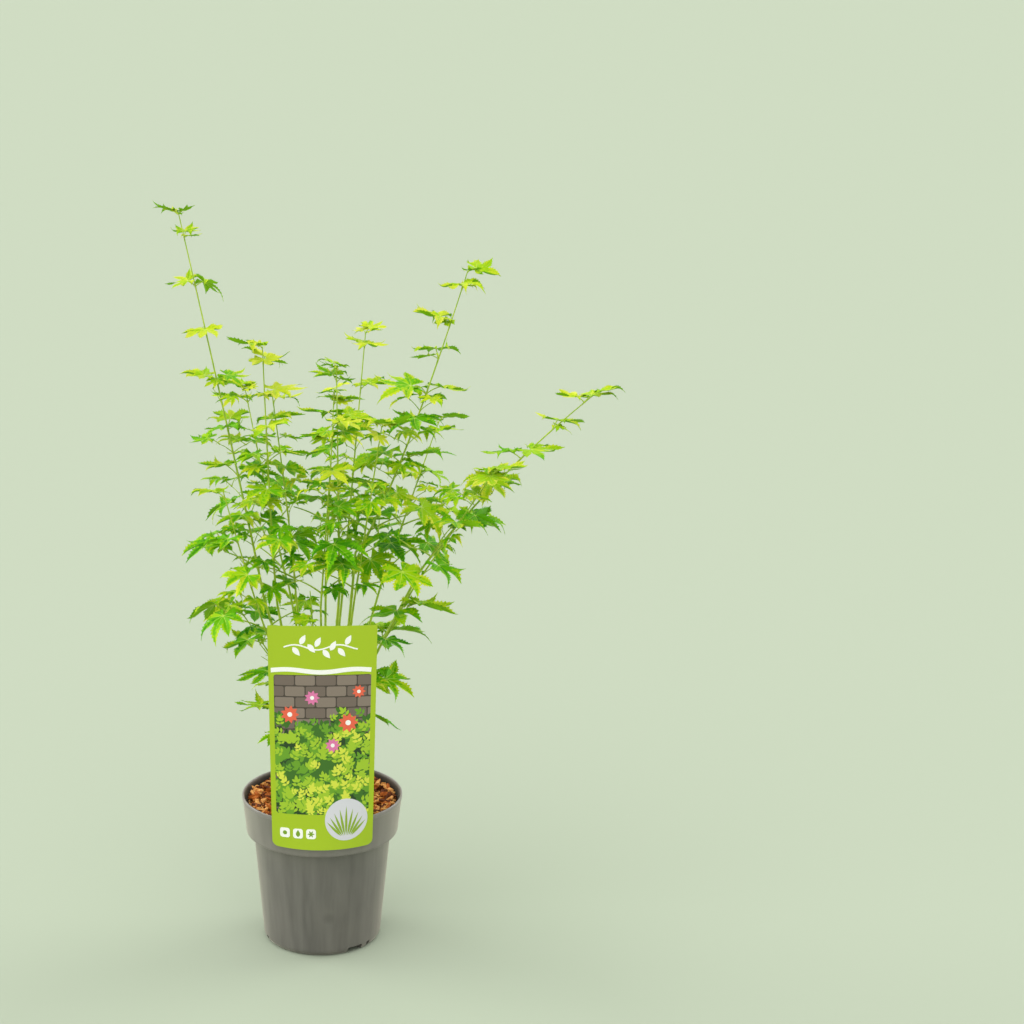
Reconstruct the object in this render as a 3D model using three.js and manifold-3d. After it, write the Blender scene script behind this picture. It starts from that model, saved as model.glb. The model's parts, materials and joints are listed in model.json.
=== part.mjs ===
// A young green-leaved Japanese maple of many slender stems, growing in a round grey nursery pot
// that is topped with bark mulch and carries a tall hook-on label at its front.
// Millimetres, +Z up, +X to the right and +Y away from the front. The origin is the centre of
// the pot's flat underside.

import * as THREE from 'three';
import { mergeVertices } from 'three/addons/utils/BufferGeometryUtils.js';
import Module from 'manifold-3d';

const wasm = await Module();
wasm.setup();
const { Manifold } = wasm;

// Driving dimensions
const CLEARANCE = 0.3;

const POT = {
  height: 181,
  lipRadius: 95,
  bandRadius: 90,
  bandHeight: 45,
  shoulderRadius: 81.5,
  footRadius: 70,
  footRounding: 9,
  wall: 2,
  floor: 3,
  stepRise: 0.8,
  lipRounding: 0.6,
  segments: 32,
};
const NOTCH = {
  groups: 3,
  firstAngle: 34,
  inner: 52,
  outer: 78,
  height: 6,
  wide: 20,
  narrow: 7,
  narrowAfter: 19,
};

const SOIL = { below: 13, chips: 26, chipReach: 76, bare: 27, slack: 1 };
const CHIP = {
  length: [11.4, 19],
  width: [5.4, 9.9],
  height: [3.5, 6.5],
  lift: [0.2, 1.2],
  tilt: [0.7, 0.5],
};

const LABEL = {
  width: 124,
  footWidth: 115.6,
  bottom: 147,
  top: 418,
  thickness: 0.8,
  cornerCut: 7,
  opening: 1.5,
  segments: 40,
  gap: 0.8,
  hookWidth: 36,
  hookDepth: 18,
  hookInset: 4.2,
  hookRise: 0.5,
};

const SOIL_TOP = POT.height - SOIL.below;
const TRUNK = {
  foot: SOIL_TOP + CLEARANCE,
  top: 285,
  lean: [4, 3],
  footRadius: 8,
  topRadius: 4.2,
  flare: 5,
  flarePower: 6,
  trim: 2,
  sides: 10,
  steps: 8,
};

// The main boughs. Each leaves the trunk at the height from and ends at tip. Its course bends
// outwards with the power bend: under 1 it leans out first and then rises, over 1 the reverse.
const BOUGHS = [
  { name: 'bough_left_outer', from: 214, tip: [-68, 7, 420], bend: 0.85, radii: [2.9, 2.1] },
  { name: 'bough_left_inner', from: 236, tip: [-51, -12, 412], bend: 0.55, radii: [2.8, 2.0] },
  { name: 'bough_left_low', from: 222, tip: [-60, -34, 380], bend: 0.75, radii: [2.3, 1.7] },
  { name: 'bough_left_back', from: 246, tip: [-40, 56, 420], bend: 0.8, radii: [2.5, 1.8] },
  { name: 'bough_centre_left', from: 262, tip: [-31, 6, 425], bend: 0.5, radii: [2.5, 1.8] },
  { name: 'bough_centre_front', from: 252, tip: [-2, -48, 425], bend: 0.7, radii: [2.3, 1.7] },
  { name: 'bough_centre', from: 280, tip: [20, 12, 430], bend: 0.6, radii: [3.0, 2.1] },
  { name: 'bough_centre_back', from: 270, tip: [26, 50, 440], bend: 0.7, radii: [2.5, 1.8] },
  { name: 'bough_centre_right', from: 258, tip: [36, -32, 425], bend: 0.6, radii: [2.4, 1.8] },
  { name: 'bough_back', from: 230, tip: [4, 96, 420], bend: 0.8, radii: [2.7, 1.9] },
  { name: 'bough_right_inner', from: 242, tip: [38, -10, 480], bend: 0.5, radii: [2.9, 2.0] },
  { name: 'bough_right_back', from: 218, tip: [70, 76, 415], bend: 0.9, radii: [2.6, 1.9] },
  { name: 'bough_right_thin', from: 226, tip: [108, -34, 450], bend: 1.1, radii: [2.1, 1.5] },
  { name: 'bough_right_long', from: 210, tip: [112, 0, 452], bend: 1.12, radii: [2.9, 2.0] },
];

// The masses of foliage. Each grows from the tip of its bough, or from the trunk at the height
// from, and ends at tip. It has pairs of leaves at its joints, each pair turned a quarter from
// the last, with turn the compass of the first. Its leaves go from size[0] to size[1] long and
// droop from droop[0] to droop[1] degrees. On the lowest twigs joints a leaf gives way to a twig.
const MASSES = [
  { name: 'foliage_left_tall', on: 'bough_left_outer', tip: [-161, 30, 864], bend: 1.05, arch: 0,
    joints: 8, twigs: 1, turn: 172, size: [52, 27], droop: [36, 6], seed: 11 },
  { name: 'foliage_right_inner', on: 'bough_right_inner', tip: [163, -2, 806], bend: 0.8, arch: 0,
    joints: 8, twigs: 1, turn: 5, size: [52, 34], droop: [36, 4], seed: 97 },
  { name: 'foliage_right_long', on: 'bough_right_long', tip: [312, -8, 668], bend: 1.05, arch: 10,
    joints: 6, twigs: 1, turn: 60, size: [52, 34], droop: [40, 0], seed: 127 },
  { name: 'foliage_left_inner', on: 'bough_left_inner', tip: [-67, -24, 722], bend: 0.7, arch: 0,
    joints: 8, twigs: 2, turn: 185, size: [50, 36], droop: [38, 4], seed: 23 },
  { name: 'foliage_centre', on: 'bough_centre', tip: [16, 22, 690], bend: 1.0, arch: 0,
    joints: 6, twigs: 1, turn: 20, size: [50, 36], droop: [34, 6], seed: 61 },
  { name: 'foliage_centre_back', on: 'bough_centre_back', tip: [50, 74, 722], bend: 1.0, arch: 0,
    joints: 6, twigs: 1, turn: 15, size: [48, 34], droop: [32, 4], seed: 89 },
  { name: 'foliage_left_low', on: 'bough_left_low', tip: [-112, -52, 566], bend: 0.9, arch: 0,
    joints: 4, twigs: 2, turn: 200, size: [54, 44], droop: [44, 22], seed: 41 },
  { name: 'foliage_centre_front', on: 'bough_centre_front', tip: [12, -58, 640], bend: 1.0, arch: 0,
    joints: 5, twigs: 1, turn: 200, size: [52, 38], droop: [40, 8], seed: 53 },
  { name: 'foliage_centre_left', on: 'bough_centre_left', tip: [-58, 20, 664], bend: 1.2, arch: 0,
    joints: 6, twigs: 1, turn: 160, size: [50, 36], droop: [36, 6], seed: 67 },
  { name: 'foliage_centre_right', on: 'bough_centre_right', tip: [66, -62, 640], bend: 1.0, arch: 0,
    joints: 4, twigs: 1, turn: 330, size: [52, 38], droop: [40, 8], seed: 71 },
  { name: 'foliage_right_thin', on: 'bough_right_thin', tip: [192, -56, 584], bend: 1.0, arch: 0,
    joints: 3, twigs: 0, turn: 100, size: [46, 40], droop: [30, 2], seed: 113 },
  { name: 'foliage_left_back', on: 'bough_left_back', tip: [-92, 140, 640], bend: 0.9, arch: 0,
    joints: 5, twigs: 2, turn: 150, size: [50, 40], droop: [38, 10], seed: 35 },
  { name: 'foliage_back', on: 'bough_back', tip: [14, 172, 630], bend: 1.0, arch: 0,
    joints: 5, twigs: 2, turn: 80, size: [50, 40], droop: [38, 12], seed: 73 },
  { name: 'foliage_right_back', on: 'bough_right_back', tip: [140, 146, 600], bend: 1.0, arch: 0,
    joints: 4, twigs: 2, turn: 40, size: [52, 40], droop: [40, 12], seed: 103 },
  { name: 'foliage_low_left', from: 240, tip: [-98, 30, 400], bend: 0.9, arch: 10,
    joints: 3, twigs: 0, turn: 200, size: [52, 48], droop: [48, 36], seed: 137 },
  { name: 'foliage_low_right', from: 256, tip: [98, -30, 420], bend: 0.9, arch: 8,
    joints: 3, twigs: 0, turn: 350, size: [54, 48], droop: [48, 34], seed: 151 },
  { name: 'foliage_low_front', from: 268, tip: [-14, -66, 450], bend: 0.7, arch: 0,
    joints: 2, twigs: 0, turn: 240, size: [50, 46], droop: [40, 30], seed: 157 },
  { name: 'foliage_low_back', from: 250, tip: [-16, 92, 392], bend: 0.9, arch: 12,
    joints: 3, twigs: 0, turn: 95, size: [52, 46], droop: [44, 34], seed: 179 },
  { name: 'foliage_low_right_back', from: 234, tip: [76, 74, 356], bend: 0.9, arch: 12,
    joints: 2, twigs: 0, turn: 45, size: [50, 46], droop: [46, 38], seed: 181 },
  { name: 'foliage_low_left_back', from: 228, tip: [-74, 60, 346], bend: 0.9, arch: 12,
    joints: 2, twigs: 0, turn: 140, size: [50, 46], droop: [46, 38], seed: 191 },
  { name: 'foliage_lowest_left', from: 200, tip: [-60, 2, 284], bend: 1.0, arch: 16,
    joints: 1, twigs: 0, turn: 190, size: [46, 44], droop: [50, 44], seed: 149 },
  { name: 'foliage_lowest_right', from: 204, tip: [62, 8, 318], bend: 1.0, arch: 18,
    joints: 1, twigs: 0, turn: 10, size: [50, 50], droop: [50, 46], seed: 167 },
];

const BOUGH = { sides: 6, steps: 6 };
// The stem of a mass has its first joint at the share firstJoint of its course, or at barePart
// where it starts inside the trunk. Jitters are in degrees.
const STEM = {
  footRadius: 1.7,
  tipRadius: 1,
  firstJoint: 0.08,
  barePart: 0.45,
  lastJoint: 0.94,
  turn: 90,
  turnJitter: 30,
  sides: 4,
  steps: 8,
};
const TWIG = { length: 42, lengths: [0.8, 1.15], radius: 1.1, rise: 26, riseJitter: 16, spread: 56 };
// A stalk's length is a share of its leaf's, from low on the stem to high.
const STALK = {
  low: 0.6,
  high: 0.3,
  rise: 34,
  riseJitter: 24,
  sharpest: 70,
  radius: 0.7,
  footRadius: 0.4,
  sunk: 1.5,
};

// A leaf has a lobe at each angle, of a length and half width that are shares of the leaf's.
const LOBES = [
  { angle: -128, length: 0.4 },
  { angle: -80, length: 0.72, width: 0.095 },
  { angle: -39, length: 0.94, width: 0.112 },
  { angle: 0, length: 1, width: 0.118 },
  { angle: 39, length: 0.94, width: 0.112 },
  { angle: 80, length: 0.72, width: 0.095 },
  { angle: 128, length: 0.4 },
];
const LEAF = {
  sizes: [0.86, 1.1],
  droopJitter: 22,
  rollJitter: 44,
  notch: 0.3,
  sinus: 0.06,
  middle: 0.1,
  shoulder: 0.5,
  curl: 0.26,
  thickness: 1.2,
};

// How far leaves keep from each other, from the limbs of other masses and from pot and label.
// A height counts for more than a breadth, by upright, because leaves lie flat over each other.
const APART = { leafRoom: 5, margin: 1.2, ownLeaf: 6.4, upright: 1.6, pot: 6 };
const HEADINGS = [0, 24, -24, 48, -48, 72, -72];
const MARKS = { step: 5, lobe: [0.25, 0.45, 0.65, 0.85, 1], stalk: [0.3, 0.55, 0.8] };

// Materials, from the photograph's colours
const paint = (color, roughness) => new THREE.MeshStandardMaterial({ color, roughness, metalness: 0 });
const FINISH = {
  pot: paint(0x6e6c64, 0.5),
  soil: paint(0x7a4a26, 0.9),
  label: paint(0xa9c61c, 0.35),
  bark: paint(0x6f8c2a, 0.65),
  leaf: paint(0x6fae1e, 0.55),
};

// Small helpers
const GOLDEN_ANGLE = Math.PI * (3 - Math.sqrt(5));
const rad = THREE.MathUtils.degToRad;
const lerp = THREE.MathUtils.lerp;
const vec = (x, y, z) => new THREE.Vector3(x, y, z);

// Seeded numbers from 0 to 1, the same on every run.
function seeded(seed) {
  let state = seed >>> 0;
  return () => {
    state = (state + 0x6d2b79f5) >>> 0;
    let t = state;
    t = Math.imul(t ^ (t >>> 15), t | 1);
    t ^= t + Math.imul(t ^ (t >>> 7), t | 61);
    return ((t ^ (t >>> 14)) >>> 0) / 4294967296;
  };
}

// A three.js geometry as a solid that can be joined and cut.
function solid(geometry) {
  const bare = geometry.clone();
  bare.deleteAttribute('normal');
  bare.deleteAttribute('uv');
  const merged = mergeVertices(bare, 1e-4);
  return new Manifold(new wasm.Mesh({
    numProp: 3,
    vertProperties: new Float32Array(merged.attributes.position.array),
    triVerts: new Uint32Array(merged.index.array),
  }));
}

// A solid as a named mesh of the scene.
function meshOf(name, body, material) {
  const made = body.getMesh();
  const geometry = new THREE.BufferGeometry();
  geometry.setAttribute('position', new THREE.BufferAttribute(new Float32Array(made.vertProperties), 3));
  geometry.setIndex(new THREE.BufferAttribute(new Uint32Array(made.triVerts), 1));
  geometry.computeVertexNormals();
  const mesh = new THREE.Mesh(geometry, material);
  mesh.name = name;
  return mesh;
}

// A turned solid round the Z axis, from a profile of [radius, height] that starts and ends on it.
function turned(profile, segments) {
  const points = profile.map(([r, z]) => new THREE.Vector2(r, z));
  return solid(new THREE.LatheGeometry(points, segments).rotateX(Math.PI / 2));
}

// A box that lies along a radius of the pot, turned round the Z axis by an angle in degrees.
function spoke(angle, inner, outer, width, bottom, top) {
  const box = new THREE.BoxGeometry(width, outer - inner, top - bottom);
  box.translate(0, -(inner + outer) / 2, (bottom + top) / 2);
  return solid(box.rotateZ(rad(angle)));
}

// The course of a stem: straight up in equal steps, out with a power, and arched upwards.
class Course extends THREE.Curve {
  constructor(root, tip, bend, arch) {
    super();
    Object.assign(this, { root, tip, bend, arch });
  }

  getPoint(t, target = new THREE.Vector3()) {
    const out = Math.pow(t, this.bend);
    return target.set(
      lerp(this.root.x, this.tip.x, out),
      lerp(this.root.y, this.tip.y, out),
      lerp(this.root.z, this.tip.z, t) + this.arch * 4 * t * (1 - t),
    );
  }
}

// A closed tapering limb: the rings of a cylinder laid along a course from one share to another.
function limb(course, from, to, radiusAt, sides, steps) {
  const shape = new THREE.CylinderGeometry(1, 1, 1, sides, steps);
  const place = shape.attributes.position;
  const along = course.getPoint(to).sub(course.getPoint(from)).normalize();
  const reference = Math.abs(along.z) < 0.9 ? vec(0, 0, 1) : vec(0, 1, 0);
  for (let i = 0; i < place.count; i++) {
    const share = place.getY(i) + 0.5;
    const t = lerp(from, to, share);
    const step = 0.02 * (to - from);
    const ahead = course.getPoint(t + step);
    const tangent = ahead.sub(course.getPoint(Math.max(t - step, 0))).normalize();
    const sideways = vec(0, 0, 0).crossVectors(tangent, reference).normalize();
    const third = vec(0, 0, 0).crossVectors(sideways, tangent);
    const radius = radiusAt(share);
    const point = course.getPoint(t);
    point.addScaledVector(sideways, place.getX(i) * radius).addScaledVector(third, place.getZ(i) * radius);
    place.setXYZ(i, point.x, point.y, point.z);
  }
  return solid(shape);
}

const taper = (first, last) => (share) => lerp(first, last, share);

// The share of a course that lies a distance past its tip.
const pastTip = (course, distance) => 1 + distance / course.getPoint(1).distanceTo(course.getPoint(0));

// The room of a limb: the limb grown by the clearance all round and past its tip.
function roomOf(course, radiusAt, sides, steps) {
  return limb(course, 0, pastTip(course, CLEARANCE), (share) => radiusAt(share) + CLEARANCE, sides, steps);
}

// The pot: one thin turned shell with a banded rim, a rounded foot and drainage notches
const innerAt = (z) => {
  const share = z / (POT.height - POT.bandHeight);
  return lerp(POT.footRadius, POT.shoulderRadius, share) - POT.wall;
};

function makePot() {
  const { height, lipRadius, bandRadius, shoulderRadius, footRadius, footRounding, wall, floor } = POT;
  const step = height - POT.bandHeight;
  const inside = step + wall;
  const edge = POT.lipRounding;
  const profile = [[0, 0]];
  const roundingSteps = 3;
  for (let i = 0; i <= roundingSteps; i++) {
    const turn = (i / roundingSteps) * (Math.PI / 2);
    const r = footRadius - footRounding + footRounding * Math.sin(turn);
    profile.push([r, footRounding - footRounding * Math.cos(turn)]);
  }
  profile.push([shoulderRadius, step], [bandRadius, step + POT.stepRise]);
  profile.push([lipRadius, height - edge], [lipRadius - edge, height], [lipRadius - wall, height]);
  profile.push([lipRadius - wall - edge, height - 2 * edge], [bandRadius - wall, inside + POT.stepRise]);
  profile.push([innerAt(step), inside], [innerAt(footRounding), footRounding]);
  profile.push([footRadius - footRounding, floor], [0, floor]);
  const notches = [];
  for (let i = 0; i < NOTCH.groups; i++) {
    const angle = NOTCH.firstAngle + (i * 360) / NOTCH.groups;
    const { inner, outer, height: top } = NOTCH;
    notches.push(spoke(angle, inner, outer, NOTCH.wide, -top, top));
    notches.push(spoke(angle + NOTCH.narrowAfter, inner, outer, NOTCH.narrow, -top, top));
  }
  return turned(profile, POT.segments).subtract(Manifold.union(notches));
}

// The root ball fills the pot, with bark chips sunk in its top
function makeSoil(hookSlot) {
  const step = POT.height - POT.bandHeight;
  const c = CLEARANCE;
  const bandFoot = step + POT.wall + SOIL.slack + POT.stepRise;
  const inset = POT.wall + SOIL.slack;
  const inBand = (z) => lerp(POT.bandRadius, POT.lipRadius, (z - step) / POT.bandHeight) - inset;
  const plug = turned([
    [0, POT.floor + c],
    [POT.footRadius - POT.footRounding - c, POT.floor + c],
    [innerAt(POT.footRounding) - c, POT.footRounding + c],
    [innerAt(step) - c, step + POT.wall + 2 * c],
    [inBand(bandFoot), bandFoot],
    [inBand(SOIL_TOP), SOIL_TOP],
    [0, SOIL_TOP],
  ], POT.segments);
  const random = seeded(5);
  const chips = [];
  for (let i = 0; i < SOIL.chips; i++) {
    const share = (i + 0.5) / SOIL.chips;
    const reach = lerp(SOIL.bare, SOIL.chipReach, Math.sqrt(share));
    const angle = i * GOLDEN_ANGLE + random() * 0.5;
    const chip = new THREE.BoxGeometry(
      lerp(...CHIP.length, random()),
      lerp(...CHIP.width, random()),
      lerp(...CHIP.height, random()),
    );
    chip.rotateX((random() - 0.5) * CHIP.tilt[0]).rotateY((random() - 0.5) * CHIP.tilt[1]);
    chip.rotateZ(random() * Math.PI);
    const z = SOIL_TOP + lerp(...CHIP.lift, random());
    chip.translate(reach * Math.cos(angle), reach * Math.sin(angle), z);
    chips.push(solid(chip));
  }
  return Manifold.union([plug, ...chips]).subtract(hookSlot);
}

// The label: a tall card with a hook over the lip. The card is part of a cone that opens upwards
// and has an upright front, so it is round like the rim at its foot and nearly flat at its top.
const cardInner = POT.lipRadius + LABEL.gap;
const cardBend = (z) => cardInner + LABEL.opening * (z - LABEL.bottom);

function uprightCone(front, bottom, top) {
  const radiusAt = (z) => cardBend(z) + front - cardInner;
  const cone = new THREE.CylinderGeometry(radiusAt(top), radiusAt(bottom), top - bottom, LABEL.segments);
  cone.rotateX(Math.PI / 2).rotateZ(Math.PI / LABEL.segments).translate(0, 0, (bottom + top) / 2);
  const place = cone.attributes.position;
  const facet = Math.cos(Math.PI / LABEL.segments);
  for (let i = 0; i < place.count; i++)
    place.setY(i, place.getY(i) + radiusAt(place.getZ(i)) * facet - front);
  return solid(cone);
}

// A plate from an outline of [radius, height], as wide as given and bent like the card at the lip.
function bentPlate(outline, width) {
  const shape = new THREE.Shape(outline.map(([radius, z]) => new THREE.Vector2(radius, z)));
  const plate = new THREE.ExtrudeGeometry(shape, { depth: width, steps: 3, bevelEnabled: false });
  const place = plate.attributes.position;
  const bend = cardBend(POT.height);
  for (let i = 0; i < place.count; i++) {
    const across = width / 2 - place.getZ(i);
    const back = bend - Math.sqrt(bend * bend - across * across);
    place.setXYZ(i, across, back - place.getX(i), place.getY(i));
  }
  return solid(plate);
}

function makeCard() {
  const { width, footWidth, bottom, top, thickness, cornerCut } = LABEL;
  const shell = uprightCone(cardInner + thickness, bottom, top)
    .subtract(uprightCone(cardInner, bottom - 1, top + 1));
  const outline = new THREE.Shape([
    new THREE.Vector2(cornerCut - footWidth / 2, bottom),
    new THREE.Vector2(footWidth / 2 - cornerCut, bottom),
    new THREE.Vector2(footWidth / 2, bottom + cornerCut),
    new THREE.Vector2(width / 2, top),
    new THREE.Vector2(-width / 2, top),
    new THREE.Vector2(-footWidth / 2, bottom + cornerCut),
  ]);
  const front = new THREE.ExtrudeGeometry(outline, { depth: 2 * cardInner, steps: 1, bevelEnabled: false });
  return shell.intersect(solid(front.rotateX(Math.PI / 2)));
}

const hookInner = POT.lipRadius - POT.wall - LABEL.hookInset;
const hookBottom = POT.height - LABEL.hookDepth;

// The hook: a tab from the middle of the card over the lip and down its inside.
function makeHook() {
  const t = LABEL.thickness;
  const over = POT.height + LABEL.hookRise;
  const outline = [
    [hookInner, hookBottom],
    [hookInner + t, hookBottom],
    [hookInner + t, over],
    [cardInner + t / 2, over],
    [cardInner + t / 2, over + t],
    [hookInner, over + t],
  ];
  return bentPlate(outline, LABEL.hookWidth);
}

function makeHookSlot() {
  const c = CLEARANCE;
  const outline = [
    [hookInner - c, hookBottom - c],
    [POT.lipRadius, hookBottom - c],
    [POT.lipRadius, POT.height],
    [hookInner - c, POT.height],
  ];
  return bentPlate(outline, LABEL.hookWidth + 2 * c);
}

// The trunk and boughs
const trunkCourse = new Course(
  vec(0, 0, TRUNK.foot - TRUNK.trim / 2),
  vec(TRUNK.lean[0], TRUNK.lean[1], TRUNK.top),
  1,
  0,
);
const trunkShare = (z) => (z - trunkCourse.root.z) / (TRUNK.top - trunkCourse.root.z);
const trunkRadius = (share) => lerp(TRUNK.footRadius, TRUNK.topRadius, share)
  + TRUNK.flare * Math.pow(1 - share, TRUNK.flarePower);

// The trunk's foot is a flat cut at the level of the soil.
function makeTrunk() {
  const width = 4 * TRUNK.footRadius;
  const under = new THREE.BoxGeometry(width, width, 2 * TRUNK.trim);
  under.translate(0, 0, TRUNK.foot - TRUNK.trim);
  return limb(trunkCourse, 0, 1, trunkRadius, TRUNK.sides, TRUNK.steps).subtract(solid(under));
}
const trunkRoom = roomOf(trunkCourse, trunkRadius, TRUNK.sides, TRUNK.steps);

// A bough starts inside the trunk. A mass starts there too, or at its bough's tip.
const courses = new Map();
const onTrunk = (z) => trunkCourse.getPoint(trunkShare(z));
for (const { name, from, tip, bend } of BOUGHS)
  courses.set(name, new Course(onTrunk(from), vec(...tip), bend, 0));
for (const { name, on, from, tip, bend, arch } of MASSES)
  courses.set(name, new Course(on ? courses.get(on).tip : onTrunk(from), vec(...tip), bend, arch));

// Marks are points that stand for what has grown so far, each with the room that it takes.
const marks = [];
function limbMarks(owner, course, radiusAt) {
  const count = Math.ceil(course.getPoint(1).distanceTo(course.getPoint(0)) / MARKS.step);
  const found = [];
  for (let i = 0; i <= count; i++)
    found.push({ owner, point: course.getPoint(i / count), room: radiusAt(i / count), isLeaf: false });
  return found;
}
marks.push(...limbMarks('trunk', trunkCourse, trunkRadius));
for (const { name, radii } of BOUGHS) marks.push(...limbMarks(name, courses.get(name), taper(...radii)));
for (const { name } of MASSES)
  marks.push(...limbMarks(name, courses.get(name), taper(STEM.footRadius, STEM.tipRadius)));

// The leaf: a star of pointed lobes round the end of its stalk, folded and curled down
function leafFrame(out, droop, roll) {
  const forward = vec(Math.cos(out) * Math.cos(droop), Math.sin(out) * Math.cos(droop), -Math.sin(droop));
  const side = vec(-Math.sin(out), Math.cos(out), 0);
  const up = vec(0, 0, 0).crossVectors(forward, side);
  const left = side.clone().multiplyScalar(Math.cos(roll)).addScaledVector(up, Math.sin(roll));
  return { forward, left, up: vec(0, 0, 0).crossVectors(forward, left) };
}

function leafPoint(centre, frame, size, angle, reach, lift = 0) {
  const curl = -LEAF.curl * reach * reach * size + lift;
  return centre.clone()
    .addScaledVector(frame.forward, Math.cos(angle) * reach * size)
    .addScaledVector(frame.left, Math.sin(angle) * reach * size)
    .addScaledVector(frame.up, curl);
}

function leafOutline() {
  const rim = [];
  LOBES.forEach((lobe, i) => {
    const between = i > 0 ? (LOBES[i - 1].angle + lobe.angle) / 2 : 0;
    if (i > 0) rim.push([rad(between), LEAF.notch * Math.min(1, lobe.length + LEAF.notch)]);
    const middle = LEAF.shoulder * lobe.length;
    const aside = lobe.width ? Math.atan(lobe.width / middle) : 0;
    if (lobe.width) rim.push([rad(lobe.angle) - aside, Math.hypot(middle, lobe.width)]);
    rim.push([rad(lobe.angle), lobe.length]);
    if (lobe.width) rim.push([rad(lobe.angle) + aside, Math.hypot(middle, lobe.width)]);
  });
  return rim;
}
const RIM = leafOutline();

// A leaf and its stalk are one closed shape: two fans of faces meet round the rim, and the
// stalk's three sides grow out of the rim's gap, from the point foot on the stem.
function makeLeaf({ centre, frame, size, foot }) {
  const rim = RIM.map(([angle, reach]) => leafPoint(centre, frame, size, angle, reach));
  const neck = centre.clone().addScaledVector(frame.forward, -LEAF.sinus * size);
  const stalk = neck.clone().sub(foot).normalize();
  const side = frame.left.clone().addScaledVector(stalk, -frame.left.dot(stalk)).normalize();
  const below = vec(0, 0, 0).crossVectors(side, stalk);
  const ringAt = (middle, half) => [
    middle.clone().addScaledVector(side, half),
    middle.clone().addScaledVector(side, -half),
    middle.clone().addScaledVector(below, 1.6 * half),
  ];
  const points = [
    ...rim,
    ...ringAt(neck, STALK.radius),
    ...ringAt(foot, STALK.footRadius),
    leafPoint(centre, frame, size, 0, LEAF.middle, LEAF.thickness / 2),
    leafPoint(centre, frame, size, 0, LEAF.middle, -LEAF.thickness / 2),
  ];
  const [left, right, under, footLeft, footRight, footUnder, top, bottom] =
    points.slice(rim.length).map((_, i) => rim.length + i);
  const index = [];
  for (let i = 0; i < rim.length; i++) {
    const next = i + 1 < rim.length ? i + 1 : left;
    index.push(top, i, next, bottom, next, i);
  }
  index.push(top, left, right, top, right, 0);
  index.push(bottom, 0, right, bottom, right, under, bottom, under, left);
  index.push(left, footLeft, right, right, footLeft, footRight);
  index.push(right, footRight, under, under, footRight, footUnder);
  index.push(under, footUnder, left, left, footUnder, footLeft);
  index.push(footLeft, footUnder, footRight);
  const geometry = new THREE.BufferGeometry().setFromPoints(points);
  geometry.setIndex(index);
  return solid(geometry);
}

// The marks of a leaf: its centre, points along each lobe, and points along its stalk.
function leafMarks(owner, leaf) {
  const { centre, frame, size, foot } = leaf;
  const room = APART.leafRoom;
  const found = [{ owner, point: centre, room, isLeaf: true }];
  for (const lobe of LOBES)
    for (const share of MARKS.lobe) {
      const point = leafPoint(centre, frame, size, rad(lobe.angle), share * lobe.length);
      found.push({ owner, point, room, isLeaf: true });
    }
  for (const share of MARKS.stalk)
    found.push({ owner, point: foot.clone().lerp(centre, share), room: STALK.radius, isLeaf: false });
  return found;
}

// A point on pot or label, or too near them.
function isByPot({ x, y, z }) {
  const { pot } = APART;
  const isOverPot = z < POT.height + pot && Math.hypot(x, y) < POT.lipRadius + pot;
  const isOnLabel = y < pot - POT.lipRadius && z < LABEL.top + pot && Math.abs(x) < LABEL.width / 2 + pot;
  return isOverPot || isOnLabel;
}

// Whether new marks keep their distance from the ones there already.
function isClear(found) {
  const [{ owner, point: centre }] = found;
  const largest = Math.max(...found.map((mark) => mark.point.distanceTo(centre)));
  const reach = largest + TRUNK.footRadius + TRUNK.flare;
  const near = marks.filter((mark) => mark.point.distanceTo(centre) < reach);
  const needed = (a, b) => {
    if (b.owner !== owner) return a.room + b.room + APART.margin;
    return a.isLeaf && b.isLeaf ? APART.ownLeaf : 0;
  };
  const spacing = (p, q) => Math.hypot(p.x - q.x, p.y - q.y, APART.upright * (p.z - q.z));
  const isFree = (a) => near.every((b) => spacing(a.point, b.point) >= needed(a, b));
  return found.every((mark) => !isByPot(mark.point) && isFree(mark));
}

const towards = (heading, rise) => vec(
  Math.cos(heading) * Math.cos(rise),
  Math.sin(heading) * Math.cos(rise),
  Math.sin(rise),
);

// One leaf on its stalk, tried at a few headings until it is clear of what is there already.
function growLeaf(mass, parts, foot, out, at, random) {
  const jitter = [random(), random(), random(), random()];
  const size = at.size * lerp(...LEAF.sizes, jitter[0]);
  const fall = rad(at.droop + (jitter[2] - 0.5) * LEAF.droopJitter);
  const rise = Math.min(rad(STALK.rise + (jitter[1] - 0.5) * STALK.riseJitter), rad(STALK.sharpest) - fall);
  const roll = rad((jitter[3] - 0.5) * LEAF.rollJitter);
  for (const turn of HEADINGS) {
    const heading = out + rad(turn);
    const centre = foot.clone().addScaledVector(towards(heading, rise), at.stalk * size);
    const leaf = { centre, frame: leafFrame(heading, fall, roll), size, foot };
    const found = leafMarks(mass.name, leaf);
    if (!isClear(found)) continue;
    marks.push(...found);
    parts.push(makeLeaf(leaf));
    return;
  }
}

// A twig in place of a leaf, with two leaves spread at its end.
function growTwig(mass, parts, foot, out, at, random) {
  const rise = rad(TWIG.rise + (random() - 0.5) * TWIG.riseJitter);
  const length = TWIG.length * lerp(...TWIG.lengths, random());
  for (const turn of HEADINGS) {
    const heading = out + rad(turn);
    const course = new Course(foot, foot.clone().addScaledVector(towards(heading, rise), length), 1, 0);
    const found = limbMarks(mass.name, course, () => TWIG.radius).reverse();
    if (!isClear(found)) continue;
    marks.push(...found);
    parts.push(limb(course, 0, pastTip(course, STALK.sunk), () => TWIG.radius, STEM.sides, 1));
    for (const side of [-1, 1])
      growLeaf(mass, parts, course.tip, heading + rad(side * TWIG.spread), at, random);
    return;
  }
}

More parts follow.
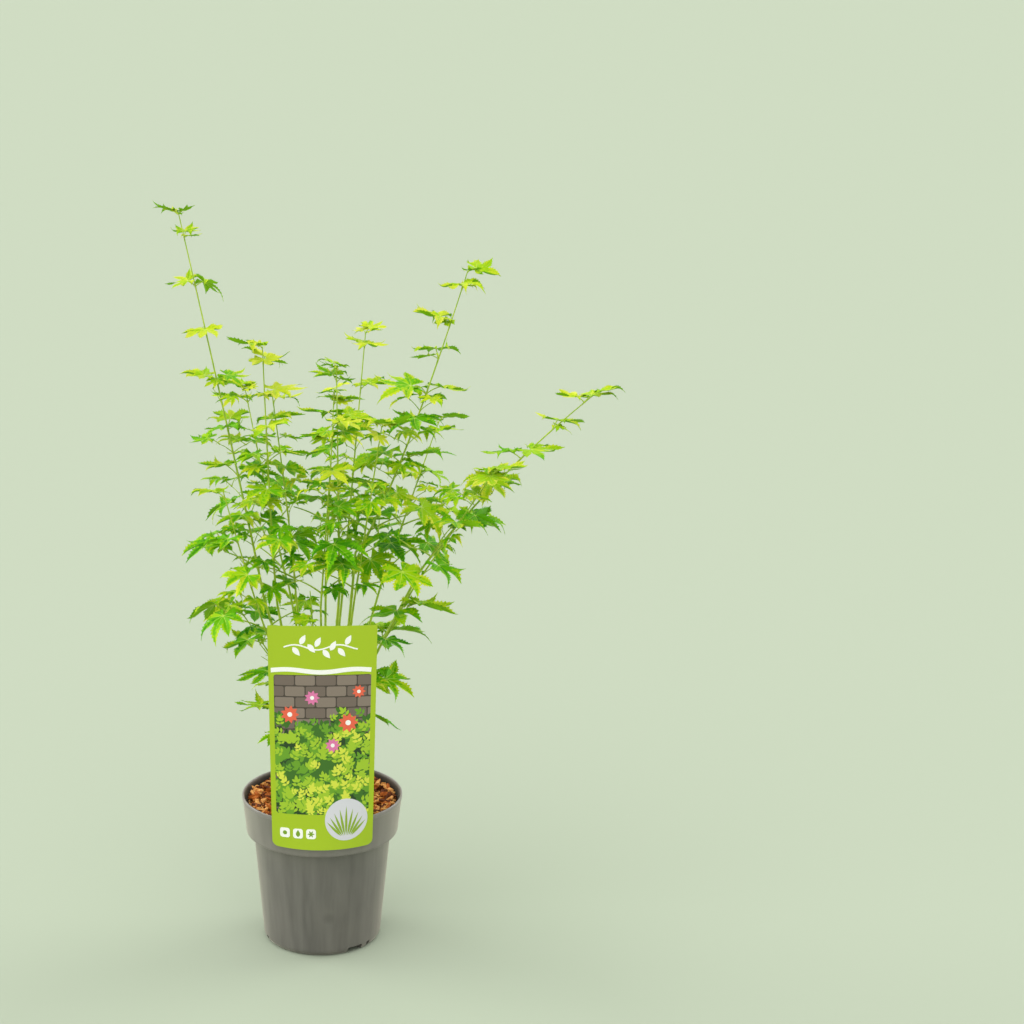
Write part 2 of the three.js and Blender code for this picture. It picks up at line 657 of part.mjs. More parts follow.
// A mass: its stem, then leaves or twigs in pairs up the stem, and a leaf at its tip.
function growMass(mass) {
  const random = seeded(mass.seed);
  const course = courses.get(mass.name);
  const bough = BOUGHS.find((b) => b.name === mass.on);
  const footRadius = bough ? bough.radii[1] : STEM.footRadius;
  const end = pastTip(course, STALK.sunk);
  const parts = [limb(course, 0, end, taper(footRadius, STEM.tipRadius), STEM.sides, STEM.steps)];
  const stateAt = (share) => ({
    size: lerp(...mass.size, share),
    droop: lerp(...mass.droop, share),
    stalk: lerp(STALK.low, STALK.high, share),
  });
  const first = bough ? STEM.firstJoint : STEM.barePart;
  for (let i = 0; i < mass.joints; i++) {
    const share = lerp(first, STEM.lastJoint, i / Math.max(1, mass.joints - 1));
    const turn = mass.turn + i * STEM.turn + (random() - 0.5) * STEM.turnJitter;
    const grow = i < mass.twigs ? growTwig : growLeaf;
    for (const side of [0, 180])
      grow(mass, parts, course.getPoint(share), rad(turn + side), stateAt(share), random);
  }
  const heading = Math.atan2(course.tip.y - course.root.y, course.tip.x - course.root.x);
  growLeaf(mass, parts, course.tip, heading, stateAt(1), random);
  return Manifold.union(parts);
}

const largestPiece = (body) => body.decompose().sort((a, b) => b.volume() - a.volume())[0];

// Put together
const shrub = new THREE.Group();
shrub.add(
  meshOf('pot', makePot(), FINISH.pot),
  meshOf('bark_mulch', makeSoil(makeHookSlot()), FINISH.soil),
  meshOf('label', makeCard().add(makeHook()), FINISH.label),
  meshOf('trunk', makeTrunk(), FINISH.bark),
);

// Each bough's foot is cut clear of the trunk and of the boughs before it.
let taken = trunkRoom;
for (const { name, radii } of BOUGHS) {
  const course = courses.get(name);
  const body = limb(course, 0, 1, taper(...radii), BOUGH.sides, BOUGH.steps).subtract(taken);
  taken = taken.add(roomOf(course, taper(...radii), BOUGH.sides, BOUGH.steps));
  shrub.add(meshOf(name, largestPiece(body), FINISH.bark));
}

// Each mass is cut clear of the trunk and of all boughs.
for (const mass of MASSES) {
  const body = growMass(mass).subtract(taken);
  shrub.add(meshOf(mass.name, largestPiece(body), FINISH.leaf));
}

export default shrub;
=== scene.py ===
import json
import math
from types import SimpleNamespace as Sizes

import bmesh
import bpy
import numpy as np
from mathutils import Matrix, Vector
from mathutils.geometry import delaunay_2d_cdt

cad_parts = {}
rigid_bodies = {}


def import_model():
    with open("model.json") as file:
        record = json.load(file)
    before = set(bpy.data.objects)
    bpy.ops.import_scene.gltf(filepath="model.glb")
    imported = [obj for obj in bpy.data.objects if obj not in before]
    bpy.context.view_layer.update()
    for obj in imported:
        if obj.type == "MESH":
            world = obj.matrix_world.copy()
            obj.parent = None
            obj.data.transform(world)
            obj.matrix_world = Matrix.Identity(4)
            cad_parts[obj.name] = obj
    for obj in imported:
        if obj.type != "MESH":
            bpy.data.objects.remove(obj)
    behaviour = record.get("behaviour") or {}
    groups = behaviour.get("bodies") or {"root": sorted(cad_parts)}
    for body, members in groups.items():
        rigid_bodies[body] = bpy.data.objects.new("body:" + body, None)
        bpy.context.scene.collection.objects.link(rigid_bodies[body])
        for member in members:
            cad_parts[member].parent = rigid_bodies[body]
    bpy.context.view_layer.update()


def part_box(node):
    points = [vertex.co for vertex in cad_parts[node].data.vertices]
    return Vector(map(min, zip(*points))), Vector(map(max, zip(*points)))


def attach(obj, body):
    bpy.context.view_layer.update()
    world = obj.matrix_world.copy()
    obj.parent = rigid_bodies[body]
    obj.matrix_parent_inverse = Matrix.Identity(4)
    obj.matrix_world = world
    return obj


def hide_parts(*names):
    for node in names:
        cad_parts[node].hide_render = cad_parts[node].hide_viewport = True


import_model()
bpy.ops.object.select_all(action="DESELECT")

MM = 0.001
BODY = "root"

# Sizes of the pot, label and trunk, as in the solids, but for notches that are cut a little higher
CLEARANCE = 0.3
POT = Sizes(
    height=181, lip=95, band=90, band_height=45, shoulder=81.5, foot=70, rounding=9, wall=2, floor=3
)
POT_STEP = POT.height - POT.band_height
NOTCH = Sizes(
    groups=3, first=34, inner=52, outer=78, height=8, wide=20, narrow=6, narrow_after=17, rounding=1.2
)
SOIL_TOP = POT.height - 13
LABEL = Sizes(
    width=124, foot_width=115.6, bottom=147, top=418, thickness=0.8, corner=7, top_corner=1.2,
    opening=1.5, gap=0.8, hook_width=36, hook_depth=18, hook_inset=4.2, hook_rise=0.5
)
LABEL_BACK = POT.lip + LABEL.gap
LABEL_FRONT = LABEL_BACK + LABEL.thickness
TRUNK = Sizes(
    foot=SOIL_TOP + CLEARANCE, top=285, lean=(4, 3), foot_radius=8, top_radius=4.2,
    flare=5, flare_power=6, trim=2, sunk=3
)

# Boughs: the height where each leaves the trunk, its tip, the power of its bend and its radii
BOUGHS = {
    "bough_left_outer": (214, (-68, 7, 420), 0.85, (2.9, 2.1)),
    "bough_left_inner": (236, (-51, -12, 412), 0.55, (2.8, 2.0)),
    "bough_left_low": (222, (-60, -34, 380), 0.75, (2.3, 1.7)),
    "bough_left_back": (246, (-40, 56, 420), 0.8, (2.5, 1.8)),
    "bough_centre_left": (262, (-31, 6, 425), 0.5, (2.5, 1.8)),
    "bough_centre_front": (252, (-2, -48, 425), 0.7, (2.3, 1.7)),
    "bough_centre": (280, (20, 12, 430), 0.6, (3.0, 2.1)),
    "bough_centre_back": (270, (26, 50, 440), 0.7, (2.5, 1.8)),
    "bough_centre_right": (258, (36, -32, 425), 0.6, (2.4, 1.8)),
    "bough_back": (230, (4, 96, 420), 0.8, (2.7, 1.9)),
    "bough_right_inner": (242, (38, -10, 480), 0.5, (2.9, 2.0)),
    "bough_right_back": (218, (70, 76, 415), 0.9, (2.6, 1.9)),
    "bough_right_thin": (226, (108, -34, 450), 1.1, (2.1, 1.5)),
    "bough_right_long": (210, (112, 0, 452), 1.12, (2.9, 2.0)),
}

# Masses of foliage, in the source's order: the bough or the height on the trunk that each grows
# from, its tip, bend, arch, joints, twigs, first turn, leaf sizes, droops and seed
MASSES = {
    "foliage_left_tall": ("bough_left_outer", (-161, 30, 864), 1.05, 0, 8, 1, 172, (52, 27), (36, 6), 11),
    "foliage_right_inner": ("bough_right_inner", (163, -2, 806), 0.8, 0, 8, 1, 5, (52, 34), (36, 4), 97),
    "foliage_right_long": ("bough_right_long", (312, -8, 668), 1.05, 10, 6, 1, 60, (52, 34), (40, 0), 127),
    "foliage_left_inner": ("bough_left_inner", (-67, -24, 722), 0.7, 0, 8, 2, 185, (50, 36), (38, 4), 23),
    "foliage_centre": ("bough_centre", (16, 22, 690), 1.0, 0, 6, 1, 20, (50, 36), (34, 6), 61),
    "foliage_centre_back": ("bough_centre_back", (50, 74, 722), 1.0, 0, 6, 1, 15, (48, 34), (32, 4), 89),
    "foliage_left_low": ("bough_left_low", (-112, -52, 566), 0.9, 0, 4, 2, 200, (54, 44), (44, 22), 41),
    "foliage_centre_front": ("bough_centre_front", (12, -58, 640), 1.0, 0, 5, 1, 200, (52, 38), (40, 8), 53),
    "foliage_centre_left": ("bough_centre_left", (-58, 20, 664), 1.2, 0, 6, 1, 160, (50, 36), (36, 6), 67),
    "foliage_centre_right": ("bough_centre_right", (66, -62, 640), 1.0, 0, 4, 1, 330, (52, 38), (40, 8), 71),
    "foliage_right_thin": ("bough_right_thin", (192, -56, 584), 1.0, 0, 3, 0, 100, (46, 40), (30, 2), 113),
    "foliage_left_back": ("bough_left_back", (-92, 140, 640), 0.9, 0, 5, 2, 150, (50, 40), (38, 10), 35),
    "foliage_back": ("bough_back", (14, 172, 630), 1.0, 0, 5, 2, 80, (50, 40), (38, 12), 73),
    "foliage_right_back": ("bough_right_back", (140, 146, 600), 1.0, 0, 4, 2, 40, (52, 40), (40, 12), 103),
    "foliage_low_left": (240, (-98, 30, 400), 0.9, 10, 3, 0, 200, (52, 48), (48, 36), 137),
    "foliage_low_right": (256, (98, -30, 420), 0.9, 8, 3, 0, 350, (54, 48), (48, 34), 151),
    "foliage_low_front": (268, (-14, -66, 450), 0.7, 0, 2, 0, 240, (50, 46), (40, 30), 157),
    "foliage_low_back": (250, (-16, 92, 392), 0.9, 12, 3, 0, 95, (52, 46), (44, 34), 179),
    "foliage_low_right_back": (234, (76, 74, 356), 0.9, 12, 2, 0, 45, (50, 46), (46, 38), 181),
    "foliage_low_left_back": (228, (-74, 60, 346), 0.9, 12, 2, 0, 140, (50, 46), (46, 38), 191),
    "foliage_lowest_left": (200, (-60, 2, 284), 1.0, 16, 1, 0, 190, (46, 44), (50, 44), 149),
    "foliage_lowest_right": (204, (62, 8, 318), 1.0, 18, 1, 0, 10, (50, 50), (50, 46), 167),
}

STEM = Sizes(
    foot=1.7, tip=1, first_joint=0.08, bare_part=0.45, last_joint=0.94, turn=90, turn_jitter=30
)
TWIG = Sizes(length=42, lengths=(0.8, 1.15), radius=1.1, rise=26, rise_jitter=16, spread=56)
STALK = Sizes(low=0.6, high=0.3, rise=34, rise_jitter=24, sharpest=70, radius=0.7)
LEAF = Sizes(sizes=(0.86, 1.1), droop_jitter=22, roll_jitter=44, curl=0.26)
LOBE_ANGLES = np.radians([-128, -80, -39, 0, 39, 80, 128])
LOBE_LENGTHS = np.array([0.4, 0.72, 0.94, 1, 0.94, 0.72, 0.4])
APART = Sizes(leaf_room=5, margin=1.2, own_leaf=6.4, upright=1.6, pot=6)
HEADINGS = (0, 24, -24, 48, -48, 72, -72)
MARKS = Sizes(step=5, lobe=(0.25, 0.45, 0.65, 0.85, 1), stalk=(0.3, 0.55, 0.8))

# What the scene adds: finer twigs with smaller leaves between the joints, low on each stem
FINE = Sizes(
    until=0.52, seed=500, turn=45, twig=Sizes(
        length=22, lengths=(0.7, 1.2), radius=0.6, rise=34, rise_jitter=30, spread=50
    ),
    size=0.6, leaf_room=3.2, own_leaf=4.6, margin=0.6, proud=5
)
YOUNG = Sizes(size=18, droop=-46, stalk=0.35, turns=(70, -60, 180), seed=900)
YOUNG_APART = Sizes(leaf_room=1.5, own_leaf=0, margin=0.3)


# Small helpers
def lerp(a, b, t):
    return a + (b - a) * t


def vec(*numbers):
    return np.array(numbers, float)


def deselect():
    bpy.ops.object.select_all(action="DESELECT")


def select_only(made):
    deselect()
    made.select_set(True)
    bpy.context.view_layer.objects.active = made


def linked(name, data):
    """A new object of the scene from its mesh, light or camera."""
    made = bpy.data.objects.new(name, data)
    bpy.context.scene.collection.objects.link(made)
    return made


MASK = 0xFFFFFFFF


def seeded(seed):
    """Numbers from 0 to 1, the same on every run, drawn as the solids' source draws them."""
    state = seed & MASK

    def draw():
        nonlocal state
        state = (state + 0x6D2B79F5) & MASK
        t = state
        t = (t ^ (t >> 15)) * (t | 1) & MASK
        t ^= (t + ((t ^ (t >> 7)) * (t | 61) & MASK)) & MASK
        return ((t ^ (t >> 14)) & MASK) / 4294967296

    return draw


def linear(r, g, b):
    """A colour as it looks on screen, from 0 to 255, as the linear numbers of a shader."""
    part = [c / 255 for c in (r, g, b)]
    return tuple(c / 12.92 if c <= 0.04045 else ((c + 0.055) / 1.055) ** 2.4 for c in part) + (1.0,)


# Materials
def new_material(name):
    material = bpy.data.materials.new(name)
    material.use_nodes = True
    return material, material.node_tree, material.node_tree.nodes["Principled BSDF"]


def feed(tree, value, socket):
    """Links a socket to another, or gives it a fixed number or colour."""
    if isinstance(value, bpy.types.NodeSocket):
        tree.links.new(value, socket)
    elif value is not None:
        socket.default_value = value


def object_coordinates(tree, scale=(1, 1, 1), centre=(0, 0, 0)):
    """Object coordinates in metres from a centre, stretched by a scale."""
    coordinates = tree.nodes.new("ShaderNodeTexCoord")
    mapping = tree.nodes.new("ShaderNodeMapping")
    mapping.inputs["Location"].default_value = [-c * s for c, s in zip(centre, scale)]
    mapping.inputs["Scale"].default_value = scale
    tree.links.new(coordinates.outputs["Object"], mapping.inputs["Vector"])
    return mapping.outputs["Vector"]


def position_parts(tree):
    """The x, y and z of Object coordinates."""
    node = tree.nodes.new("ShaderNodeSeparateXYZ")
    tree.links.new(object_coordinates(tree), node.inputs["Vector"])
    return node.outputs


def noise(tree, where, scale, detail=3.0, roughness=0.5):
    node = tree.nodes.new("ShaderNodeTexNoise")
    node.inputs["Scale"].default_value = scale
    node.inputs["Detail"].default_value = detail
    node.inputs["Roughness"].default_value = roughness
    tree.links.new(where, node.inputs["Vector"])
    return node.outputs["Fac"]


def ramp(tree, value, stops):
    """A colour ramp of (place, colour) stops over a value."""
    node = tree.nodes.new("ShaderNodeValToRGB")
    elements = node.color_ramp.elements
    while len(elements) < len(stops):
        elements.new(0.5)
    for element, (place, colour) in zip(elements, stops):
        element.position = place
        element.color = colour
    tree.links.new(value, node.inputs["Fac"])
    return node.outputs["Color"]


def spread(tree, value, low, high, out_low=0.0, out_high=1.0):
    """A value taken from one range to another, held at its ends."""
    node = tree.nodes.new("ShaderNodeMapRange")
    ends = {"From Min": low, "From Max": high, "To Min": out_low, "To Max": out_high}
    for socket, number in ends.items():
        node.inputs[socket].default_value = number
    tree.links.new(value, node.inputs["Value"])
    return node.outputs["Result"]


def mixed(tree, factor, first, second):
    """Two colours mixed by a factor, each a socket or a fixed colour."""
    node = tree.nodes.new("ShaderNodeMix")
    node.data_type = "RGBA"
    feed(tree, factor, node.inputs[0])
    colours = [socket for socket in node.inputs if socket.type == "RGBA"]
    for value, socket in zip((first, second), colours):
        feed(tree, value, socket)
    return next(socket for socket in node.outputs if socket.type == "RGBA")


def maths(tree, operation, first, second=None):
    node = tree.nodes.new("ShaderNodeMath")
    node.operation = operation
    feed(tree, first, node.inputs[0])
    feed(tree, second, node.inputs[1])
    return node.outputs["Value"]


def bump(tree, shader, height, distance, strength=1.0):
    node = tree.nodes.new("ShaderNodeBump")
    node.inputs["Strength"].default_value = strength
    node.inputs["Distance"].default_value = distance
    tree.links.new(height, node.inputs["Height"])
    tree.links.new(node.outputs["Normal"], shader.inputs["Normal"])


GATE = Sizes(place=(7.5, -73, 51), inner=3, outer=9)


def pot_plastic():
    """Satin grey moulded plastic with faint upright streaks, scuffs and a dull patch at the gate, a painted
    sheen on the band and painted shade on its inside above the mix.
    """
    material, tree, shader = new_material("pot_plastic")
    streaks = noise(tree, object_coordinates(tree, (1, 1, 0.05)), 110, 5)
    clouds = noise(tree, object_coordinates(tree), 14, 3)
    specks = noise(tree, object_coordinates(tree), 900, 2)
    base = ramp(tree, streaks, [(0.3, linear(94, 91, 87)), (0.7, linear(111, 108, 103))])
    clouded = mixed(tree, spread(tree, clouds, 0.45, 0.75, 0, 0.3), base, linear(124, 119, 111))
    height = position_parts(tree)["Z"]
    # Painted sheen: the band above the step is painted lighter, as if light caught its face.
    band = spread(tree, height, (POT_STEP - 1) * MM, (POT_STEP + 2) * MM, 0, 0.35)
    band_sheen = mixed(tree, band, clouded, linear(147, 142, 135))
    length = tree.nodes.new("ShaderNodeVectorMath")
    length.operation = "LENGTH"
    tree.links.new(object_coordinates(tree, centre=vec(*GATE.place) * MM), length.inputs[0])
    near_gate = spread(tree, length.outputs["Value"], GATE.inner * MM, GATE.outer * MM, 0.3, 0)
    outside = mixed(tree, near_gate, band_sheen, linear(70, 69, 64))
    # Painted shade: the inside of the band above the potting mix is painted dark brown, as shade falls
    # inside the pot.
    inner_shade = maths(tree, "MULTIPLY", within_wall(tree), 0.85)
    tree.links.new(mixed(tree, inner_shade, outside, linear(52, 46, 40)), shader.inputs["Base Color"])
    tree.links.new(spread(tree, clouds, 0.3, 0.8, 0.3, 0.42), shader.inputs["Roughness"])
    shader.inputs["Sheen Weight"].default_value = 0.35
    shader.inputs["Sheen Roughness"].default_value = 0.35
    shader.inputs["Sheen Tint"].default_value = linear(250, 232, 212)
    bump(tree, shader, specks, 0.0001, 0.5)
    return material


def within_wall(tree):
    """1 on the inside of the pot's band and 0 outside, from the middle of its sloping wall; it marks where
    the shade inside the pot is painted.
    """
    x, y, z = position_parts(tree)
    across = maths(tree, "ADD", maths(tree, "MULTIPLY", x, x), maths(tree, "MULTIPLY", y, y))
    slope = (POT.lip - POT.band) / POT.band_height
    start = POT.band - POT.wall / 2 - slope * POT_STEP
    middle = maths(tree, "ADD", maths(tree, "MULTIPLY", z, slope), start * MM)
    inward = maths(tree, "SUBTRACT", middle, maths(tree, "SQRT", across))
    below_lip = spread(tree, z, (POT.height - 4) * MM, (POT.height - 1) * MM, 1, 0)
    in_band = maths(tree, "MULTIPLY", below_lip, spread(tree, z, (SOIL_TOP - 9) * MM, (SOIL_TOP - 6) * MM))
    return maths(tree, "MULTIPLY", spread(tree, inward, -0.0002, 0.0002), in_band)


def soil_mix():
    material, tree, shader = new_material("potting_mix")
    grains = noise(tree, object_coordinates(tree), 420, 4, 0.6)
    colour = ramp(tree, grains, [(0.35, linear(30, 20, 13)), (0.7, linear(74, 48, 29))])
    tree.links.new(colour, shader.inputs["Base Color"])
    shader.inputs["Roughness"].default_value = 0.95
    bump(tree, shader, grains, 0.0008)
    return material


def bark_chip(name, dark, light):
    """Fibrous bark: grain along and across the chips and a dry, rough face."""
    material, tree, shader = new_material(name)
    grain = noise(tree, object_coordinates(tree, (1, 0.35, 1)), 520, 5, 0.6)
    colour = ramp(tree, grain, [(0.3, dark), (0.72, light)])
    tree.links.new(colour, shader.inputs["Base Color"])
    shader.inputs["Roughness"].default_value = 0.82
    shader.inputs["Specular IOR Level"].default_value = 0.15
    bump(tree, shader, grain, 0.0007)
    return material


GREEN_FROM = 300


def stem_bark(name, low, high, old):
    """Smooth green bark with yellow streaks along it, pale pores and a browner foot."""
    material, tree, shader = new_material(name)
    streaks = noise(tree, object_coordinates(tree, (1, 1, 0.08)), 420, 4)
    patches = noise(tree, object_coordinates(tree), 22, 3)
    pores = noise(tree, object_coordinates(tree, (1, 1, 0.6)), 1500, 2)
    green = mixed(tree, spread(tree, streaks, 0.35, 0.7), low, high)
    age = spread(tree, position_parts(tree)["Z"], SOIL_TOP * MM, GREEN_FROM * MM, 0.85, 0)
    aged = mixed(tree, maths(tree, "MULTIPLY", age, spread(tree, patches, 0.3, 0.6, 0.5, 1)), green, old)
    dotted = mixed(tree, spread(tree, pores, 0.66, 0.76, 0, 0.5), aged, linear(196, 196, 140))
    tree.links.new(dotted, shader.inputs["Base Color"])
    shader.inputs["Roughness"].default_value = 0.55
    bump(tree, shader, streaks, 0.0003, 0.6)
    return material


def plain_finish(name, colour, roughness, specular=0.5):
    """One even colour, for the leaves, ribs, stalks, printed card and floor."""
    material, _, shader = new_material(name)
    shader.inputs["Base Color"].default_value = colour
    shader.inputs["Roughness"].default_value = roughness
    shader.inputs["Specular IOR Level"].default_value = specular
    return material


# Meshes
def from_arrays(name, points, triangles, materials, smooth_angle=40, slots=None):
    """One mesh from points in millimetres and triangles, each with its material's place in a list."""
    points = np.asarray(points, float) * MM
    triangles = np.asarray(triangles, np.int32)
    mesh = bpy.data.meshes.new(name)
    mesh.vertices.add(len(points))
    mesh.vertices.foreach_set("co", points.astype(np.float32).ravel())
    mesh.loops.add(3 * len(triangles))
    mesh.loops.foreach_set("vertex_index", triangles.ravel())
    mesh.polygons.add(len(triangles))
    mesh.polygons.foreach_set("loop_start", np.arange(0, 3 * len(triangles), 3, dtype=np.int32))
    for material in materials:
        mesh.materials.append(material)
    if slots is not None:
        mesh.polygons.foreach_set("material_index", np.asarray(slots, np.int32))
    mesh.update(calc_edges=True)
    mesh.validate()
    made = linked(name, mesh)
    shade(made, smooth_angle)
    return made


def shade(made, angle):
    select_only(made)
    bpy.ops.object.shade_smooth_by_angle(angle=math.radians(angle))
    made.select_set(False)


def keep(made, slot, *nodes):
    """The piece rides on the body and stands for solids, which it hides. Its slot is not used."""
    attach(made, BODY)
    if nodes:
        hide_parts(*nodes)
    return made


class Heap:
    """Shapes of one kind, gathered as arrays and joined into one mesh."""

    def __init__(self):
        self.points, self.triangles, self.slots, self.count = [], [], [], 0

    def add(self, points, triangles, slots=None):
        self.points.append(points)
        self.triangles.append(np.asarray(triangles) + self.count)
        self.count += len(points)
        if slots is not None:
            self.slots.append(slots)

    def joined(self, name, materials, smooth_angle=40):
        slots = np.concatenate(self.slots) if self.slots else None
        points, triangles = np.concatenate(self.points), np.concatenate(self.triangles)
        return from_arrays(name, points, triangles, materials, smooth_angle, slots)


def tube(path, radii, sides, relief=None):
    """A closed tube round a path: (points, triangles). relief(angle, index) scales its radii."""
    path, radii = np.asarray(path, float), np.asarray(radii, float)
    ahead = np.gradient(path, axis=0)
    ahead /= np.linalg.norm(ahead, axis=1)[:, None]
    reference = vec(0, 1, 0) if abs(ahead[:, 2]).mean() > 0.7 else vec(0, 0, 1)
    side = np.cross(ahead, reference)
    side /= np.linalg.norm(side, axis=1)[:, None]
    third = np.cross(side, ahead)
    angles = 2 * math.pi * np.arange(sides) / sides
    grown = np.repeat(radii[:, None], sides, axis=1)
    if relief is not None:
        grown = grown * relief(angles[None, :], np.arange(len(path))[:, None])
    ring = side[:, None] * np.cos(angles)[None, :, None] + third[:, None] * np.sin(angles)[None, :, None]
    points = (path[:, None] + grown[:, :, None] * ring).reshape(-1, 3)
    points = np.concatenate([points, path[:1], path[-1:]])
    first, last = len(points) - 2, len(points) - 1
    here = np.arange(sides)
    after = (here + 1) % sides
    faces = []
    for i in range(len(path) - 1):
        a, b = i * sides, (i + 1) * sides
        faces.append(np.stack([a + here, b + here, b + after], 1))
        faces.append(np.stack([a + here, b + after, a + after], 1))
    end = (len(path) - 1) * sides
    faces.append(np.stack([np.full(sides, first), here, after], 1))
    faces.append(np.stack([np.full(sides, last), end + after, end + here], 1))
    return points, np.concatenate(faces)


# The courses of trunk, boughs and stems
class Course:
    """Straight up in equal steps, out with a power, and arched upwards."""

    def __init__(self, root, tip, bend=1.0, arch=0.0):
        self.root, self.tip = vec(*root), vec(*tip)
        self.bend, self.arch = bend, arch
        self.length = np.linalg.norm(self.tip - self.root)

    def at(self, t):
        t = np.asarray(t, float)
        out = t ** self.bend
        x = lerp(self.root[0], self.tip[0], out)
        y = lerp(self.root[1], self.tip[1], out)
        z = lerp(self.root[2], self.tip[2], t) + self.arch * 4 * t * (1 - t)
        return np.stack([x, y, z], -1)


trunk_course = Course((0, 0, TRUNK.foot - TRUNK.trim / 2), (*TRUNK.lean, TRUNK.top))


def on_trunk(z):
    return trunk_course.at((z - trunk_course.root[2]) / (TRUNK.top - trunk_course.root[2]))


def trunk_radius(share):
    even = lerp(TRUNK.foot_radius, TRUNK.top_radius, share)
    return even + TRUNK.flare * (1 - share) ** TRUNK.flare_power


def mass_of(name):
    root, tip, bend, arch, joints, twigs, turn, size, droop, seed = MASSES[name]
    return Sizes(
        name=name, on=root if isinstance(root, str) else None, joints=joints, twigs=twigs,
        turn=turn, size=size, droop=droop, seed=seed, course=courses[name]
    )


courses = {}
for name, (start, tip, bend, _) in BOUGHS.items():
    courses[name] = Course(on_trunk(start), tip, bend)
for name, (start, tip, bend, arch, *_) in MASSES.items():
    root = courses[start].tip if isinstance(start, str) else on_trunk(start)
    courses[name] = Course(root, tip, bend, arch)


# Growth, by the same rule as the solids
class Grown:
    """What has grown so far: marks with the room that each takes, and all leaves and twigs."""

    def __init__(self, most=60000):
        self.points, self.rooms = np.zeros((most, 3)), np.zeros(most)
        self.leafy, self.owners, self.count = np.zeros(most, bool), np.zeros(most, int), 0
        self.names = {}
        self.leaves, self.twigs = [], []

    def owner(self, name):
        return self.names.setdefault(name, len(self.names))

    def add(self, owner, points, rooms, leafy):
        place = slice(self.count, self.count + len(points))
        self.points[place], self.rooms[place] = points, rooms
        self.leafy[place], self.owners[place] = leafy, owner
        self.count += len(points)

    def is_clear(self, owner, points, rooms, leafy, apart):
        """Whether new marks keep their distance from the ones there already."""
        largest = np.linalg.norm(points - points[0], axis=1).max()
        reach = largest + TRUNK.foot_radius + TRUNK.flare
        near = np.linalg.norm(self.points[: self.count] - points[0], axis=1) < reach
        there = self.points[: self.count][near]
        gap = (points[:, None] - there[None]) * vec(1, 1, APART.upright)
        spacing = np.linalg.norm(gap, axis=2)
        same = self.owners[: self.count][near] == owner
        both_leaf = leafy[:, None] & self.leafy[: self.count][near][None]
        others = rooms[:, None] + self.rooms[: self.count][near][None] + apart.margin
        needed = np.where(same[None], np.where(both_leaf, apart.own_leaf, 0), others)
        return not is_by_pot(points) and bool((spacing >= needed).all())


def is_by_pot(points):
    x, y, z = points.T
    over_pot = (z < POT.height + APART.pot) & (np.hypot(x, y) < POT.lip + APART.pot)
    by_label = (y < APART.pot - POT.lip) & (z < LABEL.top + APART.pot)
    return bool((over_pot | (by_label & (np.abs(x) < LABEL.width / 2 + APART.pot))).any())


def limb_marks(course, radius_at):
    count = math.ceil(np.linalg.norm(course.at(1) - course.at(0)) / MARKS.step)
    shares = np.arange(count + 1) / count
    points = course.at(shares)
    return points, np.array([radius_at(t) for t in shares]), np.zeros(count + 1, bool)


grown = Grown()
grown.add(grown.owner("trunk"), *limb_marks(trunk_course, trunk_radius))
for name, (*_, radii) in BOUGHS.items():
    grown.add(grown.owner(name), *limb_marks(courses[name], lambda t: lerp(*radii, t)))
for name in MASSES:
    grown.add(grown.owner(name), *limb_marks(courses[name], lambda t: lerp(STEM.foot, STEM.tip, t)))


def leaf_frame(out, droop, roll):
    forward = vec(math.cos(out) * math.cos(droop), math.sin(out) * math.cos(droop), -math.sin(droop))
    side = vec(-math.sin(out), math.cos(out), 0)
    left = side * math.cos(roll) + np.cross(forward, side) * math.sin(roll)
    return forward, left, np.cross(forward, left)


def leaf_marks(leaf, room):
    forward, left, up = leaf.frame
    reach = np.outer(LOBE_LENGTHS, MARKS.lobe).ravel()
    angle = np.repeat(LOBE_ANGLES, len(MARKS.lobe))
    flat = np.cos(angle)[:, None] * forward + np.sin(angle)[:, None] * left
    lobes = leaf.centre + leaf.size * (reach[:, None] * flat - LEAF.curl * reach[:, None] ** 2 * up)
    stalk = leaf.foot + np.outer(MARKS.stalk, leaf.centre - leaf.foot)
    points = np.concatenate([[leaf.centre], lobes, stalk])
    leafy = np.arange(len(points)) < 1 + len(lobes)
    return points, np.where(leafy, room, STALK.radius), leafy


def towards(heading, rise):
    return vec(
        math.cos(heading) * math.cos(rise), math.sin(heading) * math.cos(rise), math.sin(rise)
    )


def grow_leaf(mass, foot, out, at, random, apart):
    """One leaf on its stalk, tried at a few headings until it is clear of what is there already."""
    jitter = [random() for _ in range(4)]
    size = at.size * lerp(*LEAF.sizes, jitter[0])
    fall = math.radians(at.droop + (jitter[2] - 0.5) * LEAF.droop_jitter)
    rise = math.radians(STALK.rise + (jitter[1] - 0.5) * STALK.rise_jitter)
    rise = min(rise, math.radians(STALK.sharpest) - fall)
    roll = math.radians((jitter[3] - 0.5) * LEAF.roll_jitter)
    owner = grown.owner(mass.name)
    for turn in HEADINGS:
        heading = out + math.radians(turn)
        centre = foot + towards(heading, rise) * at.stalk * size
        leaf = Sizes(
            centre=centre, frame=leaf_frame(heading, fall, roll), size=size, foot=foot, heading=heading,
            fall=fall, roll=roll, mass=mass, share=at.share, fine=apart is not APART
        )
        marks = leaf_marks(leaf, apart.leaf_room)
        if grown.is_clear(owner, *marks, apart) and (apart is APART or is_within(mass, marks[0])):
            grown.add(owner, *marks)
            grown.leaves.append(leaf)
            return


